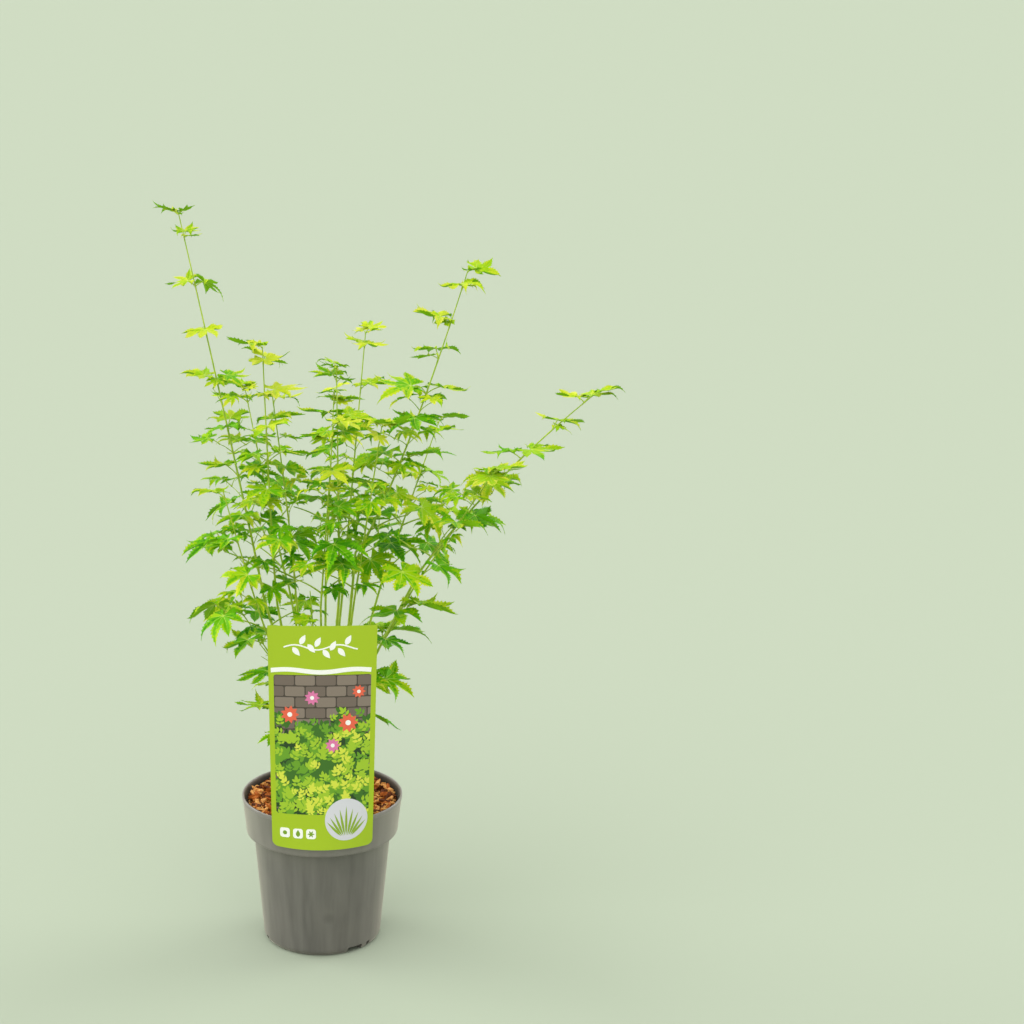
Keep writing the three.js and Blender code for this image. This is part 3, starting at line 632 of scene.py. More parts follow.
def grow_twig(mass, foot, out, at, random, apart, twig):
    """A twig in place of a leaf, with two leaves spread at its end."""
    rise = math.radians(twig.rise + (random() - 0.5) * twig.rise_jitter)
    length = twig.length * lerp(*twig.lengths, random())
    owner = grown.owner(mass.name)
    for turn in HEADINGS:
        heading = out + math.radians(turn)
        course = Course(foot, foot + towards(heading, rise) * length)
        points, rooms, leafy = limb_marks(course, lambda _: twig.radius)
        marks = points[::-1], rooms, leafy
        if grown.is_clear(owner, *marks, apart):
            grown.add(owner, *marks)
            grown.twigs.append((course, twig.radius))
            for side in (-1, 1):
                spread_by = side * math.radians(twig.spread)
                grow_leaf(mass, course.tip, heading + spread_by, at, random, apart)
            return


def state_at(mass, share, scale=1.0):
    """The size, droop and stalk of the leaves at a share of a stem."""
    return Sizes(
        share=share, size=lerp(*mass.size, share) * scale, droop=lerp(*mass.droop, share),
        stalk=lerp(STALK.low, STALK.high, share)
    )


def joint_shares(mass):
    first = STEM.first_joint if mass.on else STEM.bare_part
    count = mass.joints
    return [lerp(first, STEM.last_joint, i / max(1, count - 1)) for i in range(count)]


def grow_mass(mass):
    random = seeded(mass.seed)
    for i, share in enumerate(joint_shares(mass)):
        turn = mass.turn + i * STEM.turn + (random() - 0.5) * STEM.turn_jitter
        for side in (0, 180):
            foot, out, at = mass.course.at(share), math.radians(turn + side), state_at(mass, share)
            if i < mass.twigs:
                grow_twig(mass, foot, out, at, random, APART, TWIG)
            else:
                grow_leaf(mass, foot, out, at, random, APART)
    away = mass.course.tip - mass.course.root
    grow_leaf(mass, mass.course.tip, math.atan2(away[1], away[0]), state_at(mass, 1), random, APART)


def is_within(mass, points):
    """Whether points keep to the space of their mass's solid, or nearly."""
    low, high = (vec(*corner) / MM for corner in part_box(mass.name))
    return bool((points >= low - FINE.proud).all() and (points <= high + FINE.proud).all())


def grow_finer(mass):
    """Finer twigs with small leaves, between the joints of the lower part of a stem."""
    random = seeded(mass.seed + FINE.seed)
    shares = joint_shares(mass)
    step = (shares[1] - shares[0]) / 2 if len(shares) > 1 else 0.3
    for i, share in enumerate(shares):
        if share > FINE.until:
            break
        turn = mass.turn + i * STEM.turn + FINE.turn
        for side in (0, 180):
            foot, out = mass.course.at(share + step), math.radians(turn + side)
            grow_twig(mass, foot, out, state_at(mass, share, FINE.size), random, FINE, FINE.twig)
    for share in shares:
        out = math.radians(mass.turn + FINE.turn + 360 * random())
        grow_leaf(mass, mass.course.at(share), out, state_at(mass, share, FINE.size), random, FINE)


def grow_young(mass):
    """Small upright leaves that are just opening at a stem's tip."""
    random = seeded(mass.seed + YOUNG.seed)
    away = mass.course.tip - mass.course.root
    at = Sizes(share=1, size=YOUNG.size, droop=YOUNG.droop, stalk=YOUNG.stalk)
    for turn in YOUNG.turns:
        out = math.atan2(away[1], away[0]) + math.radians(turn)
        grow_leaf(mass, mass.course.tip, out, at, random, YOUNG_APART)


masses = [mass_of(name) for name in MASSES]
for mass in masses:
    grow_mass(mass)
for mass in masses:
    grow_young(mass)
    grow_finer(mass)
fine = sum(leaf.fine for leaf in grown.leaves)
print("leaves", len(grown.leaves), "fine", fine, "twigs", len(grown.twigs))


# How level leaves hold themselves, as shares of the fall and roll that they grew with
LEVEL = Sizes(fall=0.34, roll=0.5, pitch=8)

# The leaf: its flat plan is the same for all, and each leaf folds, bends and curls its own way
PLAN_LENGTHS = np.array([0.5, 0.78, 0.95, 1, 0.95, 0.78, 0.5])
WEB = Sizes(reach=0.34, rings=3, outer=math.radians(22), fade=1.3)
LOBE = Sizes(
    stations=(8, 12, 14, 14, 14, 12, 8), across=(-1, -0.5, 0, 0.5, 1), width=0.166, even=0.45,
    tooth=0.28, tooth_late=0.25, bite_early=0.05, close=0.96, widest=0.408, taper=1.45, tip_out=1.06,
    step_out=0.012
)


def half_angle(lobe, side):
    """The angle from a lobe's rib to its border with the next lobe on that side."""
    beside = lobe + side
    if 0 <= beside < len(LOBE_ANGLES):
        return abs(LOBE_ANGLES[beside] - LOBE_ANGLES[lobe]) / 2
    return WEB.outer


def lobe_width(lobe, tau, side):
    """The half width of a lobe outside the web, from its border at the web to nothing at its tip."""
    at_web = WEB.reach * math.sin(half_angle(lobe, side))
    bulge = LOBE.width * lerp(LOBE.even, 1, PLAN_LENGTHS[lobe]) - at_web / 2
    swell = tau * (1 - tau) ** LOBE.taper / (LOBE.widest * (1 - LOBE.widest) ** LOBE.taper)
    return at_web * (1 - tau) ** WEB.fade + bulge * swell


def leaf_plan():
    """The plan's points, each as (lobe, tau, along, off, on the rim), and the grid that they lie in."""
    rows, index = [], {}

    def place(key, lobe, tau, along, off, rim):
        index[key] = len(rows)
        rows.append((lobe, tau, along, off, rim))

    last_lobe = len(LOBE_ANGLES) - 1
    place("centre", last_lobe // 2, 0, 0, 0, True)
    grid = {}
    for lobe, stations in enumerate(LOBE.stations):
        for ring in range(1, WEB.rings + 1):
            reach = WEB.reach * ring / WEB.rings
            for across in LOBE.across:
                shared = (lobe - 1, ring, 1)
                if across == -1 and lobe > 0:
                    grid[lobe, ring, across] = index[shared]
                    continue
                side = 1 if across > 0 else -1
                angle = across * half_angle(lobe, side)
                outer = (lobe == 0 and across == -1) or (lobe == last_lobe and across == 1)
                edge = outer or (ring == WEB.rings and abs(across) == 1)
                along, off = reach * math.cos(angle), reach * math.sin(angle)
                place((lobe, ring, across), lobe, 0, along, off, edge)
                grid[lobe, ring, across] = index[lobe, ring, across]
        length = PLAN_LENGTHS[lobe]
        for station in range(1, stations):
            is_tip = station % 2 == 1
            tau = (station + (LOBE.tooth_late if is_tip else -LOBE.bite_early)) / stations
            reach = WEB.reach + (length - WEB.reach) * tau
            for across in LOBE.across:
                side = 1 if across >= 0 else -1
                bite = LOBE.tip_out if is_tip else 1 - LOBE.tooth * abs(across)
                room = LOBE.close * reach * math.sin(half_angle(lobe, side))
                off = across * min(lobe_width(lobe, tau, side) * bite, room)
                along = math.sqrt(reach ** 2 - (off * (1 - tau)) ** 2)
                along += (LOBE.step_out if is_tip else -LOBE.step_out) * across ** 2
                key = (lobe, WEB.rings + station, across)
                place(key, lobe, tau, along, off, abs(across) == 1)
                grid[key] = index[key]
        place((lobe, "tip"), lobe, 1, length, 0, True)
        grid[lobe, "tip"] = index[lobe, "tip"]
    return rows, grid


def leaf_faces(grid):
    """The upper faces, with the lobe and the half of each and whether it lies on the lobe's margin."""
    faces, lobes, sides, margins = [], [], [], []
    for lobe, stations in enumerate(LOBE.stations):
        last = WEB.rings + stations - 1
        for near, far in zip(LOBE.across, LOBE.across[1:]):
            strip = [(0, grid[lobe, 1, near], grid[lobe, 1, far])]
            for ring in range(1, last):
                a, b = grid[lobe, ring, near], grid[lobe, ring + 1, near]
                c, d = grid[lobe, ring + 1, far], grid[lobe, ring, far]
                strip += [(a, b, c), (a, c, d)]
            strip.append((grid[lobe, last, near], grid[lobe, "tip"], grid[lobe, last, far]))
            faces += strip
            lobes += [lobe] * len(strip)
            sides += [int(far > 0)] * len(strip)
            is_outer = abs(near) == 1 or abs(far) == 1
            margins += [is_outer and i > 2 * WEB.rings for i in range(len(strip))]
    return np.array(faces), np.array(lobes), np.array(sides), np.array(margins)


PLAN, GRID = leaf_plan()
PLAN_LOBE = np.array([row[0] for row in PLAN])
PLAN_TAU, PLAN_ALONG, PLAN_OFF = (np.array([row[i] for row in PLAN], float) for i in (1, 2, 3))
PLAN_RIM = np.array([row[4] for row in PLAN])
TOP_FACES, FACE_LOBE, FACE_SIDE, FACE_MARGIN = leaf_faces(GRID)
FACE_TAU = PLAN_TAU[TOP_FACES].mean(1)
UNDER = np.arange(len(PLAN))
UNDER[~PLAN_RIM] = len(PLAN) + np.arange((~PLAN_RIM).sum())
BLADE_FACES = np.concatenate([TOP_FACES, UNDER[TOP_FACES][:, ::-1]])
BLADE = Sizes(thickness=0.3, sag_power=2, tip_power=5, twist_power=1.5, ripples=9, ripple_depth=8)
RIB = Sizes(width=0.011, least=0.002, height=0.006, stations=7, end=0.94)
VEINS = Sizes(count=5, start=0.6, first=0.16, last=0.8, ahead=0.6, reach=0.8, width=0.005, height=0.006)
CARD_ROOM = 0.9


# How leaves differ, in radians and in shares of their size: the middle of each bend, how much more
# it is low on a stem, and its spread
TEMPER = Sizes(
    curl=(0.02, 0.06, 0.05), sag=(-0.05, 0.13, 0.12), tip=(0, 0.07, 0.1), swing=(0, 0, 0.13),
    twist=(0, 0, 0.6), reach=(0.76, 1.06), fold=(0, 0.8), wave=(0, 6.3), ripple=(0.008, 0.03)
)


def leaf_temper(leaf, number):
    """How one leaf differs from the plan: its own pitch, and the bends, turns and curls of its lobes."""
    dice = np.random.default_rng(number)
    lobes = len(LOBE_ANGLES)
    pitch = leaf.fall * LEVEL.fall + math.radians(dice.normal(0, LEVEL.pitch))
    roll = leaf.roll * LEVEL.roll + math.radians(dice.normal(0, LEVEL.pitch))

    def bent(middle, lower, by, count=lobes):
        return dice.normal(middle + lower * (1 - leaf.share), by, count)

    return Sizes(
        frame=leaf_frame(leaf.heading, pitch, roll), curl=bent(*TEMPER.curl, None),
        swing=bent(*TEMPER.swing), twist=bent(*TEMPER.twist), sag=bent(*TEMPER.sag),
        tip=bent(*TEMPER.tip), reach=dice.uniform(*TEMPER.reach, lobes),
        fold=dice.uniform(*TEMPER.fold, lobes), wave=dice.uniform(*TEMPER.wave, lobes),
        ripple=dice.uniform(*TEMPER.ripple)
    )


def on_leaf(leaf, lobe, tau, along, off, lift=0.0):
    """Points of a leaf from its flat plan, lifted off the blade by a share of its size."""
    own = leaf.temper
    turn = LOBE_ANGLES[lobe] + own.swing[lobe] * tau
    twist = own.twist[lobe] * tau ** BLADE.twist_power
    along = along * lerp(1, own.reach[lobe], tau)
    side = off * np.cos(twist)
    rise = off * np.sin(twist) + own.fold[lobe] * np.abs(off)
    x = along * np.cos(turn) - side * np.sin(turn)
    y = along * np.sin(turn) + side * np.cos(turn)
    rise = rise - own.curl * (x * x + y * y)
    rise = rise - own.sag[lobe] * tau ** BLADE.sag_power * PLAN_LENGTHS[lobe]
    rise = rise - own.tip[lobe] * tau ** BLADE.tip_power
    ripple = own.ripple * np.sin(BLADE.ripples * along + own.wave[lobe])
    rise = rise + ripple * np.abs(off) * BLADE.ripple_depth * tau
    forward, left, up = own.frame
    local = x[:, None] * forward + y[:, None] * left + (rise + lift)[:, None] * up
    return behind_card(leaf.centre + leaf.size * local)


def behind_card(points):
    """Leaf tips that would pass through the card lie against its back."""
    x, y, z = points.T
    bend = card_bend(z)
    back = bend - LABEL_BACK - np.sqrt(np.maximum(bend ** 2 - x ** 2, 0)) + CARD_ROOM
    covered = (np.abs(x) < LABEL.width / 2) & (z > LABEL.bottom) & (z < LABEL.top)
    return np.stack([x, np.where(covered, np.maximum(y, back), y), z], 1)


def blade(leaf):
    """A leaf's closed blade, thin as paper and sharp at its rim."""
    flat = on_leaf(leaf, PLAN_LOBE, PLAN_TAU, PLAN_ALONG, PLAN_OFF)
    half = BLADE.thickness / 2 * leaf.temper.frame[2]
    top = flat + np.where(PLAN_RIM[:, None], 0, half)
    under = (flat - half)[~PLAN_RIM]
    return np.concatenate([top, under])


def ribs(leaf):
    """The ribs of a leaf: a slim four-sided ridge along each lobe, above and below the blade."""
    points, faces, count = [], [], 0
    n = RIB.stations
    for lobe, length in enumerate(PLAN_LENGTHS):
        share = np.linspace(0, RIB.end, n)
        along = share * length
        tau = np.clip((along - WEB.reach) / (length - WEB.reach), 0, 1)
        width = RIB.width * (1 - share) * (1 + length) / 2 + RIB.least
        index = np.full(n, lobe)
        height = np.zeros(n) + BLADE.thickness / 2 / leaf.size
        lift = RIB.height * (1 - share)
        corners = [
            on_leaf(leaf, index, tau, along, width),
            on_leaf(leaf, index, tau, along, 0 * width, height + lift),
            on_leaf(leaf, index, tau, along, -width),
            on_leaf(leaf, index, tau, along, 0 * width, -height - lift),
        ]
        points.append(np.stack(corners, 1).reshape(-1, 3))
        for i in range(n - 1):
            for k in range(4):
                a, b = count + 4 * i + k, count + 4 * i + (k + 1) % 4
                faces += [(a, b, b + 4), (a, b + 4, a + 4)]
        end = count + 4 * (n - 1)
        faces += [(count, count + 2, count + 1), (count, count + 3, count + 2)]
        faces += [(end, end + 1, end + 2), (end, end + 2, end + 3)]
        count += 4 * n
    return np.concatenate(points), np.array(faces)


def side_veins(leaf):
    """The side veins: slim wedges that run from the rib of each lobe forward to its margin."""
    points, faces, count = [], [], 0
    for lobe, length in enumerate(PLAN_LENGTHS):
        number = max(2, round(VEINS.count * length))
        for share in np.linspace(VEINS.first, VEINS.last, number):
            along = lerp(VEINS.start * WEB.reach, length, share)
            for side in (-1, 1):
                width = lobe_width(lobe, share, side) * VEINS.reach
                ahead = along + VEINS.ahead * width
                a = np.array([along, along + 2 * VEINS.width, along + VEINS.width, ahead])
                o = side * np.array([0, 0, 0, width])
                lift = VEINS.height * np.array([0, 0, 1, 0.5])
                late = np.clip((a - WEB.reach) / (length - WEB.reach), 0, 1)
                points.append(on_leaf(leaf, np.full(4, lobe), late, a, o, lift))
                faces += [(count, count + 1, count + 3), (count + 1, count + 2, count + 3)]
                faces += [(count + 2, count, count + 3), (count, count + 2, count + 1)]
                count += 4
    return np.concatenate(points), np.array(faces)


STALK_SHAPE = Sizes(points=7, sides=6, bow=0.06, thick=0.34, by_size=0.008, foot=0.9, fade=12)


def stalk(leaf):
    """A leaf's stalk: thicker at its foot, slightly bowed, ending under the middle of the blade."""
    own = STALK_SHAPE
    share = np.linspace(0, 1, own.points)
    line = leaf.foot + share[:, None] * (leaf.centre - leaf.foot)
    bow = own.bow * np.linalg.norm(leaf.centre - leaf.foot)
    line[:, 2] += bow * np.sin(math.pi * share)
    thick = (own.thick + own.by_size * leaf.size) * (1 + own.foot * np.exp(-share * own.fade))
    return tube(line, thick, own.sides)


# Tones from deep green low and inside, partly painted shade, to golden lime on the young tips, and the pale
# underside
TONES = {
    "deep": linear(62, 136, 3), "green": linear(98, 169, 3), "fresh": linear(147, 190, 8),
    "lime": linear(184, 201, 34), "gold": linear(203, 209, 66), "under": linear(128, 182, 22),
}
UNDERSIDE = len(TONES) - 1
MOST_LEAVES = 110
CROWN = Sizes(low=300, tall=500)
SMALLER = Sizes(
    left=0.76, middle=0.86, right=0.98, top=0.98, back=0.92, left_of=-70, right_of=60, behind=60
)


def height_share(leaf):
    """How high a leaf is in the crown, from 0 to 1."""
    return np.clip((leaf.centre[2] - CROWN.low) / CROWN.tall, 0, 1)


# What makes a face brighter, in steps from tone to tone
BRIGHT = Sizes(
    base=0.28, height=1.45, share=1.05, fine=0.3, by_leaf=0.5, by_half=0.45, calmer=0.3,
    tips=(0.3, 0.7), edges=(0.3, 0.9, 1.4, 2), edge=(0.6, 1), by_face=0.2
)


def tones_of(leaf, dice):
    """The tone of each face: brighter high up, partly as painted light on the crown's top and painted shade
    low down, brighter towards a stem's tip and on some lobes' margins, and each half of a lobe painted
    lighter or darker as light and shade on its fold.
    """
    height = height_share(leaf)
    # Painted light and shade in part: faces higher in the crown are brighter, as the top is lit and the low
    # part shaded.
    bright = BRIGHT.base + BRIGHT.height * height + BRIGHT.share * leaf.share + BRIGHT.fine * leaf.fine
    bright += dice.normal(0, BRIGHT.by_leaf)
    lobes = len(LOBE_ANGLES)
    # Painted light and shade: each half of a lobe is a tone lighter or darker at random, as a fold catches
    # light or not, less so high up.
    by_half = bright + dice.normal(0, BRIGHT.by_half - BRIGHT.calmer * height, 2 * lobes)
    tips = dice.normal(*BRIGHT.tips, lobes)
    edge = dice.choice(BRIGHT.edges) * dice.uniform(*BRIGHT.edge)
    top = by_half[2 * FACE_LOBE + FACE_SIDE] + tips[FACE_LOBE] * FACE_TAU + edge * FACE_MARGIN
    top = top + dice.normal(0, BRIGHT.by_face, len(top))
    top = np.clip(np.round(top), 0, UNDERSIDE - 1).astype(int)
    return np.concatenate([top, np.full(len(top), UNDERSIDE)])


def blade_share(leaf):
    """Blades are smaller low down, at the back and on the open left side than the room they grew in."""
    x, y, _ = leaf.centre
    if x < SMALLER.left_of:
        low = SMALLER.left
    else:
        low = SMALLER.middle if x < SMALLER.right_of else SMALLER.right
    share = lerp(low, SMALLER.top, height_share(leaf))
    return share * SMALLER.back if y > SMALLER.behind else share


def make_leaves():
    dice = np.random.default_rng(7)
    finishes = [plain_finish(f"leaf_{tone}", colour, 0.5, 0.07) for tone, colour in TONES.items()]
    blades, rib_heaps, stalks = [], [], Heap()
    for number, leaf in enumerate(grown.leaves):
        leaf.temper = leaf_temper(leaf, number)
        leaf.size *= blade_share(leaf)
        if number % MOST_LEAVES == 0:
            blades.append(Heap())
        if number % (2 * MOST_LEAVES) == 0:
            rib_heaps.append(Heap())
        blades[-1].add(blade(leaf), BLADE_FACES, tones_of(leaf, dice))
        rib_heaps[-1].add(*ribs(leaf))
        rib_heaps[-1].add(*side_veins(leaf))
        stalks.add(*stalk(leaf))
    for number, heap in enumerate(blades):
        made = heap.joined(f"leaves_{number + 1}", finishes, 35)
        keep(made, "foliage", *(MASSES if number == 0 else ()))
    rib_finish = plain_finish("leaf_rib", linear(180, 210, 70), 0.5)
    for number, heap in enumerate(rib_heaps):
        keep(heap.joined(f"leaf_ribs_{number + 1}", [rib_finish]), "foliage")
    stalk_finish = plain_finish("leaf_stalk", linear(172, 196, 52), 0.5)
    keep(stalks.joined("leaf_stalks", [stalk_finish]), "stem")


# Trunk, boughs and stems with nodes, ridges and flare
NODE = Sizes(on_trunk=(36, 62, 88), spacing=34, step=39.1, width=2.2, swell=0.3)
# Limbs are slimmer than their solids by these shares. A stem's tip has a radius in millimetres
SLIM = Sizes(foot=0.76, tip=0.7, twig_tip=0.6)
STEM_TIP = 0.6
TWIG_BOW = 0.05
# Each limb's sides, length of a ring in millimetres, fewest rings, first seed and height of its ridges
LIMBS = Sizes(
    trunk=Sizes(sides=28, rings=46, seed=3, ridges=0.045),
    bough=Sizes(sides=12, ring=3, rings=24, seed=20, ridges=0.03),
    stem=Sizes(sides=9, ring=4, rings=20, seed=60, ridges=0.025),
    twig=Sizes(sides=7, rings=8)
)


def bark_relief(seed, strength):
    """Ridges along a limb and small lumps on it, as a scale of its radius."""
    dice = np.random.default_rng(seed)
    phase = dice.uniform(0, 6.3, 4)

    def relief(angle, ring):
        broad = np.sin(3 * angle + phase[0] + 0.11 * ring)
        ridges = broad + 0.6 * np.sin(7 * angle + phase[1] - 0.07 * ring)
        lumps = np.sin(0.9 * ring + phase[2]) * np.sin(2 * angle + phase[3])
        return 1 + strength * (0.6 * ridges + 0.5 * lumps)

    return relief


def node_swell(path, places):
    """How much a stem swells at its joints."""
    run = np.concatenate([[0], np.cumsum(np.linalg.norm(np.diff(path, axis=0), axis=1))])
    swell = np.ones(len(path))
    for place in places:
        swell += NODE.swell * np.exp(-(((run - place) / NODE.width) ** 2))
    return swell


def limb(course, kind, ends, places, number):
    """A limb from its course and the radii at its ends, swollen at the places of its joints."""
    rings = max(kind.rings, int(course.length / kind.ring))
    path = course.at(np.linspace(0, 1, rings))
    radii = np.linspace(*ends, rings) * node_swell(path, places)
    return tube(path, radii, kind.sides, bark_relief(kind.seed + number, kind.ridges))


def make_trunk_and_boughs():
    heap, kind = Heap(), LIMBS.trunk
    shares = np.linspace(0, 1, kind.rings)
    path = trunk_course.at(shares)
    path[0, 2] = SOIL_TOP - TRUNK.sunk
    radii = trunk_radius(shares) * node_swell(path, NODE.on_trunk)
    heap.add(*tube(path, radii, kind.sides, bark_relief(kind.seed, kind.ridges)))
    for number, (name, (_, _, _, (first, last))) in enumerate(BOUGHS.items()):
        places = np.arange(NODE.spacing, courses[name].length, NODE.step)
        ends = SLIM.foot * first, SLIM.tip * last
        heap.add(*limb(courses[name], LIMBS.bough, ends, places, number))
    finish = stem_bark("stem_bark", linear(142, 176, 30), linear(186, 204, 60), linear(130, 122, 66))
    keep(heap.joined("trunk_and_boughs", [finish], 60), "stem", "trunk", *BOUGHS)


def make_stems():
    heap = Heap()
    for number, mass in enumerate(masses):
        foot = SLIM.tip * (BOUGHS[mass.on][3][1] if mass.on else STEM.foot)
        places = [share * mass.course.length for share in joint_shares(mass)]
        heap.add(*limb(mass.course, LIMBS.stem, (foot, STEM_TIP), places, number))
    rings = LIMBS.twig.rings
    shares = np.linspace(0, 1, rings)
    for course, radius in grown.twigs:
        path = course.at(shares)
        path[:, 2] += TWIG_BOW * course.length * np.sin(math.pi * shares)
        heap.add(*tube(path, np.linspace(radius, SLIM.twig_tip * radius, rings), LIMBS.twig.sides))
    finish = stem_bark("twig_bark", linear(136, 174, 28), linear(184, 202, 56), linear(128, 140, 60))
    keep(heap.joined("stems_and_twigs", [finish], 60), "stem")


# The pot, from one circle drawn up in rings: out round the foot, over the lip and down inside
def active(name):
    made = bpy.context.active_object
    made.name = name
    made.data.name = name
    return made


def apply_modifiers(made):
    select_only(made)
    for modifier in list(made.modifiers):
        bpy.ops.object.modifier_apply(modifier=modifier.name)
    bpy.ops.object.transform_apply(location=True, rotation=True, scale=True)
    made.select_set(False)


def drawn_up(name, rings, vertices):
    """A closed turned piece: a filled circle extruded from ring to ring of (radius, height)."""
    (radius, height), *others = rings
    deselect()
    bpy.ops.mesh.primitive_circle_add(
        vertices=vertices, radius=radius * MM, fill_type="NGON", location=(0, 0, height * MM)
    )
    made = active(name)
    bpy.ops.object.transform_apply(location=True, rotation=True, scale=True)
    bpy.ops.object.mode_set(mode="EDIT")
    bpy.ops.mesh.select_all(action="SELECT")
    for next_radius, next_height in others:
        bpy.ops.mesh.extrude_region_move(
            TRANSFORM_OT_translate={"value": (0, 0, (next_height - height) * MM)}
        )
        grow = next_radius / radius
        bpy.ops.transform.resize(value=(grow, grow, 1), center_override=(0, 0, next_height * MM))
        radius, height = next_radius, next_height
    bpy.ops.mesh.select_all(action="SELECT")
    bpy.ops.mesh.normals_make_consistent(inside=False)
    bpy.ops.object.mode_set(mode="OBJECT")
    return made


def arc(centre_radius, centre_height, radius, start, end, steps):
    """Rings round a quarter or half circle, with angles from straight out, in degrees."""
    turns = np.radians(np.linspace(start, end, steps))
    return [(centre_radius + radius * math.cos(t), centre_height + radius * math.sin(t)) for t in turns]


def inner_at(z):
    """The radius of the wall's inside at a height below the band."""
    return lerp(POT.foot, POT.shoulder, z / POT_STEP) - POT.wall


STEP_CURVE = Sizes(in_radius=1.4, out_radius=1.6, drop=1.2)
LIP = Sizes(rounding=1, bead=4.6, bead_under=5.5, bead_out=0.7)


def make_pot():
    step, foot_centre = POT_STEP, POT.foot - POT.rounding
    rings = [(foot_centre - 12, 0)]
    rings += arc(foot_centre, POT.rounding, POT.rounding, -90, 0, 8)
    for t in (0.25, 0.5, 0.75, 1):
        rings.append((lerp(POT.foot, POT.shoulder, t), lerp(POT.rounding, step - 1.5, t)))
    curve = STEP_CURVE
    rings += arc(POT.shoulder + curve.out_radius, step - curve.drop, curve.in_radius, 180, 95, 4)
    rings += arc(POT.band - curve.out_radius, step + curve.drop / 2, curve.out_radius, -80, 0, 5)
    rings += [(POT.lip - LIP.bead_out, POT.height - LIP.bead_under), (POT.lip, POT.height - LIP.bead)]
    rings += arc(POT.lip - LIP.rounding, POT.height - LIP.rounding, LIP.rounding, 0, 180, 7)
    rings += [(POT.lip - POT.wall - 0.5, POT.height - 4)]
    rings += [(POT.band - POT.wall, step + POT.wall + 0.8), (inner_at(step), step + POT.wall)]
    rings += [(inner_at(POT.rounding), POT.rounding), (foot_centre, POT.floor)]
    pot = drawn_up("nursery_pot", rings, 128)
    for group in range(NOTCH.groups):
        angle = NOTCH.first + group * 360 / NOTCH.groups
        cut_notch(pot, angle, NOTCH.wide)
        cut_notch(pot, angle + NOTCH.narrow_after, NOTCH.narrow)
    apply_modifiers(pot)
    for cutter in [o for o in bpy.context.scene.objects if o.name.startswith("cutter")]:
        bpy.data.objects.remove(cutter)
    pot.data.materials.append(pot_plastic())
    shade(pot, 32)
    keep(pot, "pot", "pot")


def cut_notch(pot, angle, width):
    """A drainage notch in the foot, cut by a block with rounded edges."""
    deselect()
    bpy.ops.mesh.primitive_cube_add(size=1)
    cutter = active(f"cutter_{angle:.0f}")
    cutter.scale = (width * MM, (NOTCH.outer - NOTCH.inner) * MM, 2 * NOTCH.height * MM)
    bpy.ops.object.transform_apply(location=True, rotation=True, scale=True)
    rounding = cutter.modifiers.new("rounding", "BEVEL")
    rounding.width, rounding.segments = NOTCH.rounding * MM, 3
    bpy.ops.object.modifier_apply(modifier=rounding.name)
    middle = (NOTCH.inner + NOTCH.outer) / 2
    turned = Matrix.Rotation(math.radians(angle), 4, "Z")
    cutter.data.transform(turned @ Matrix.Translation((0, -middle * MM, 0)))
    cut = pot.modifiers.new("notch", "BOOLEAN")
    cut.operation, cut.object, cut.solver = "DIFFERENCE", cutter, "EXACT"
    cutter.hide_render = True


# The bark mulch: potting mix that fills the pot, under a heap of bark chips
MULCH = Sizes(
    chips=1300, bare=15, middle=82, reach=88, rim=(4, 10), low=-2, high=8, shares=(0.36, 0.3, 0.34)
)
CHIP = Sizes(
    sizes=((5, 15), (2.4, 6), (1.6, 4)), ends=(0.5, 0.42, 0.45), girth=(0.25, 0.55, 0.6), rough=0.13
)
GOLDEN_ANGLE = math.pi * (3 - math.sqrt(5))
# Bark tones: the dark chips are partly the bark's own dark tone and partly painted shade, standing for the
# shaded gaps between chips.
CHIP_TONES = {
    "light": (linear(196, 116, 54), linear(244, 188, 112)),
    "mid": (linear(136, 64, 22), linear(204, 114, 46)),
    "dark": (linear(58, 27, 12), linear(118, 58, 24)),
}


def make_potting_mix():
    c, step = CLEARANCE, POT_STEP
    rings = [
        (POT.foot - POT.rounding - c, POT.floor + c), (inner_at(POT.rounding) - c, POT.rounding + c),
        (inner_at(step) - c, step + POT.wall + 2 * c), (POT.band - POT.wall - 1, step + 5),
        (POT.lip - POT.wall - 2.2, SOIL_TOP - 1), (74, SOIL_TOP), (50, SOIL_TOP + 0.5), (24, SOIL_TOP),
    ]
    soil = drawn_up("potting_mix", rings, 96)
    soil.data.materials.append(soil_mix())
    shade(soil, 40)
    keep(soil, "bark_mulch", "bark_mulch")


def make_chips():
    """Chips strewn all over the potting mix, with every third one near the rim."""
    heaps = {tone: Heap() for tone in CHIP_TONES}
    dice = np.random.default_rng(41)
    for number in range(MULCH.chips):
        points, faces = chip(dice)
        reach = lerp(MULCH.bare, MULCH.middle, math.sqrt(dice.uniform(0.004, 1)))
        turn = number * GOLDEN_ANGLE + dice.uniform(0, 0.6)
        if number % 3 == 0:
            reach = MULCH.reach - dice.uniform(*MULCH.rim)
        height = SOIL_TOP + dice.uniform(MULCH.low, MULCH.high)
        points = points + vec(reach * math.cos(turn), reach * math.sin(turn), height)
        outside = np.hypot(points[:, 0], points[:, 1]) / (POT.lip - POT.wall - 1.4)
        points[:, :2] /= np.maximum(outside, 1)[:, None]
        if is_in_hook(points):
            continue
        heaps[dice.choice(list(heaps), p=MULCH.shares)].add(points, faces)
    for tone, heap in heaps.items():
        finish = bark_chip(f"bark_{tone}", *CHIP_TONES[tone])
        keep(heap.joined(f"bark_chips_{tone}", [finish], 24), "bark_mulch")


def is_in_hook(points):
    """Whether a chip would cut through the label's hook."""
    x, y, _ = points.T
    hook = POT.lip - POT.wall - LABEL.hook_inset
    return bool(((np.abs(x) < LABEL.hook_width / 2 + 1) & (y < -hook + 3)).any())


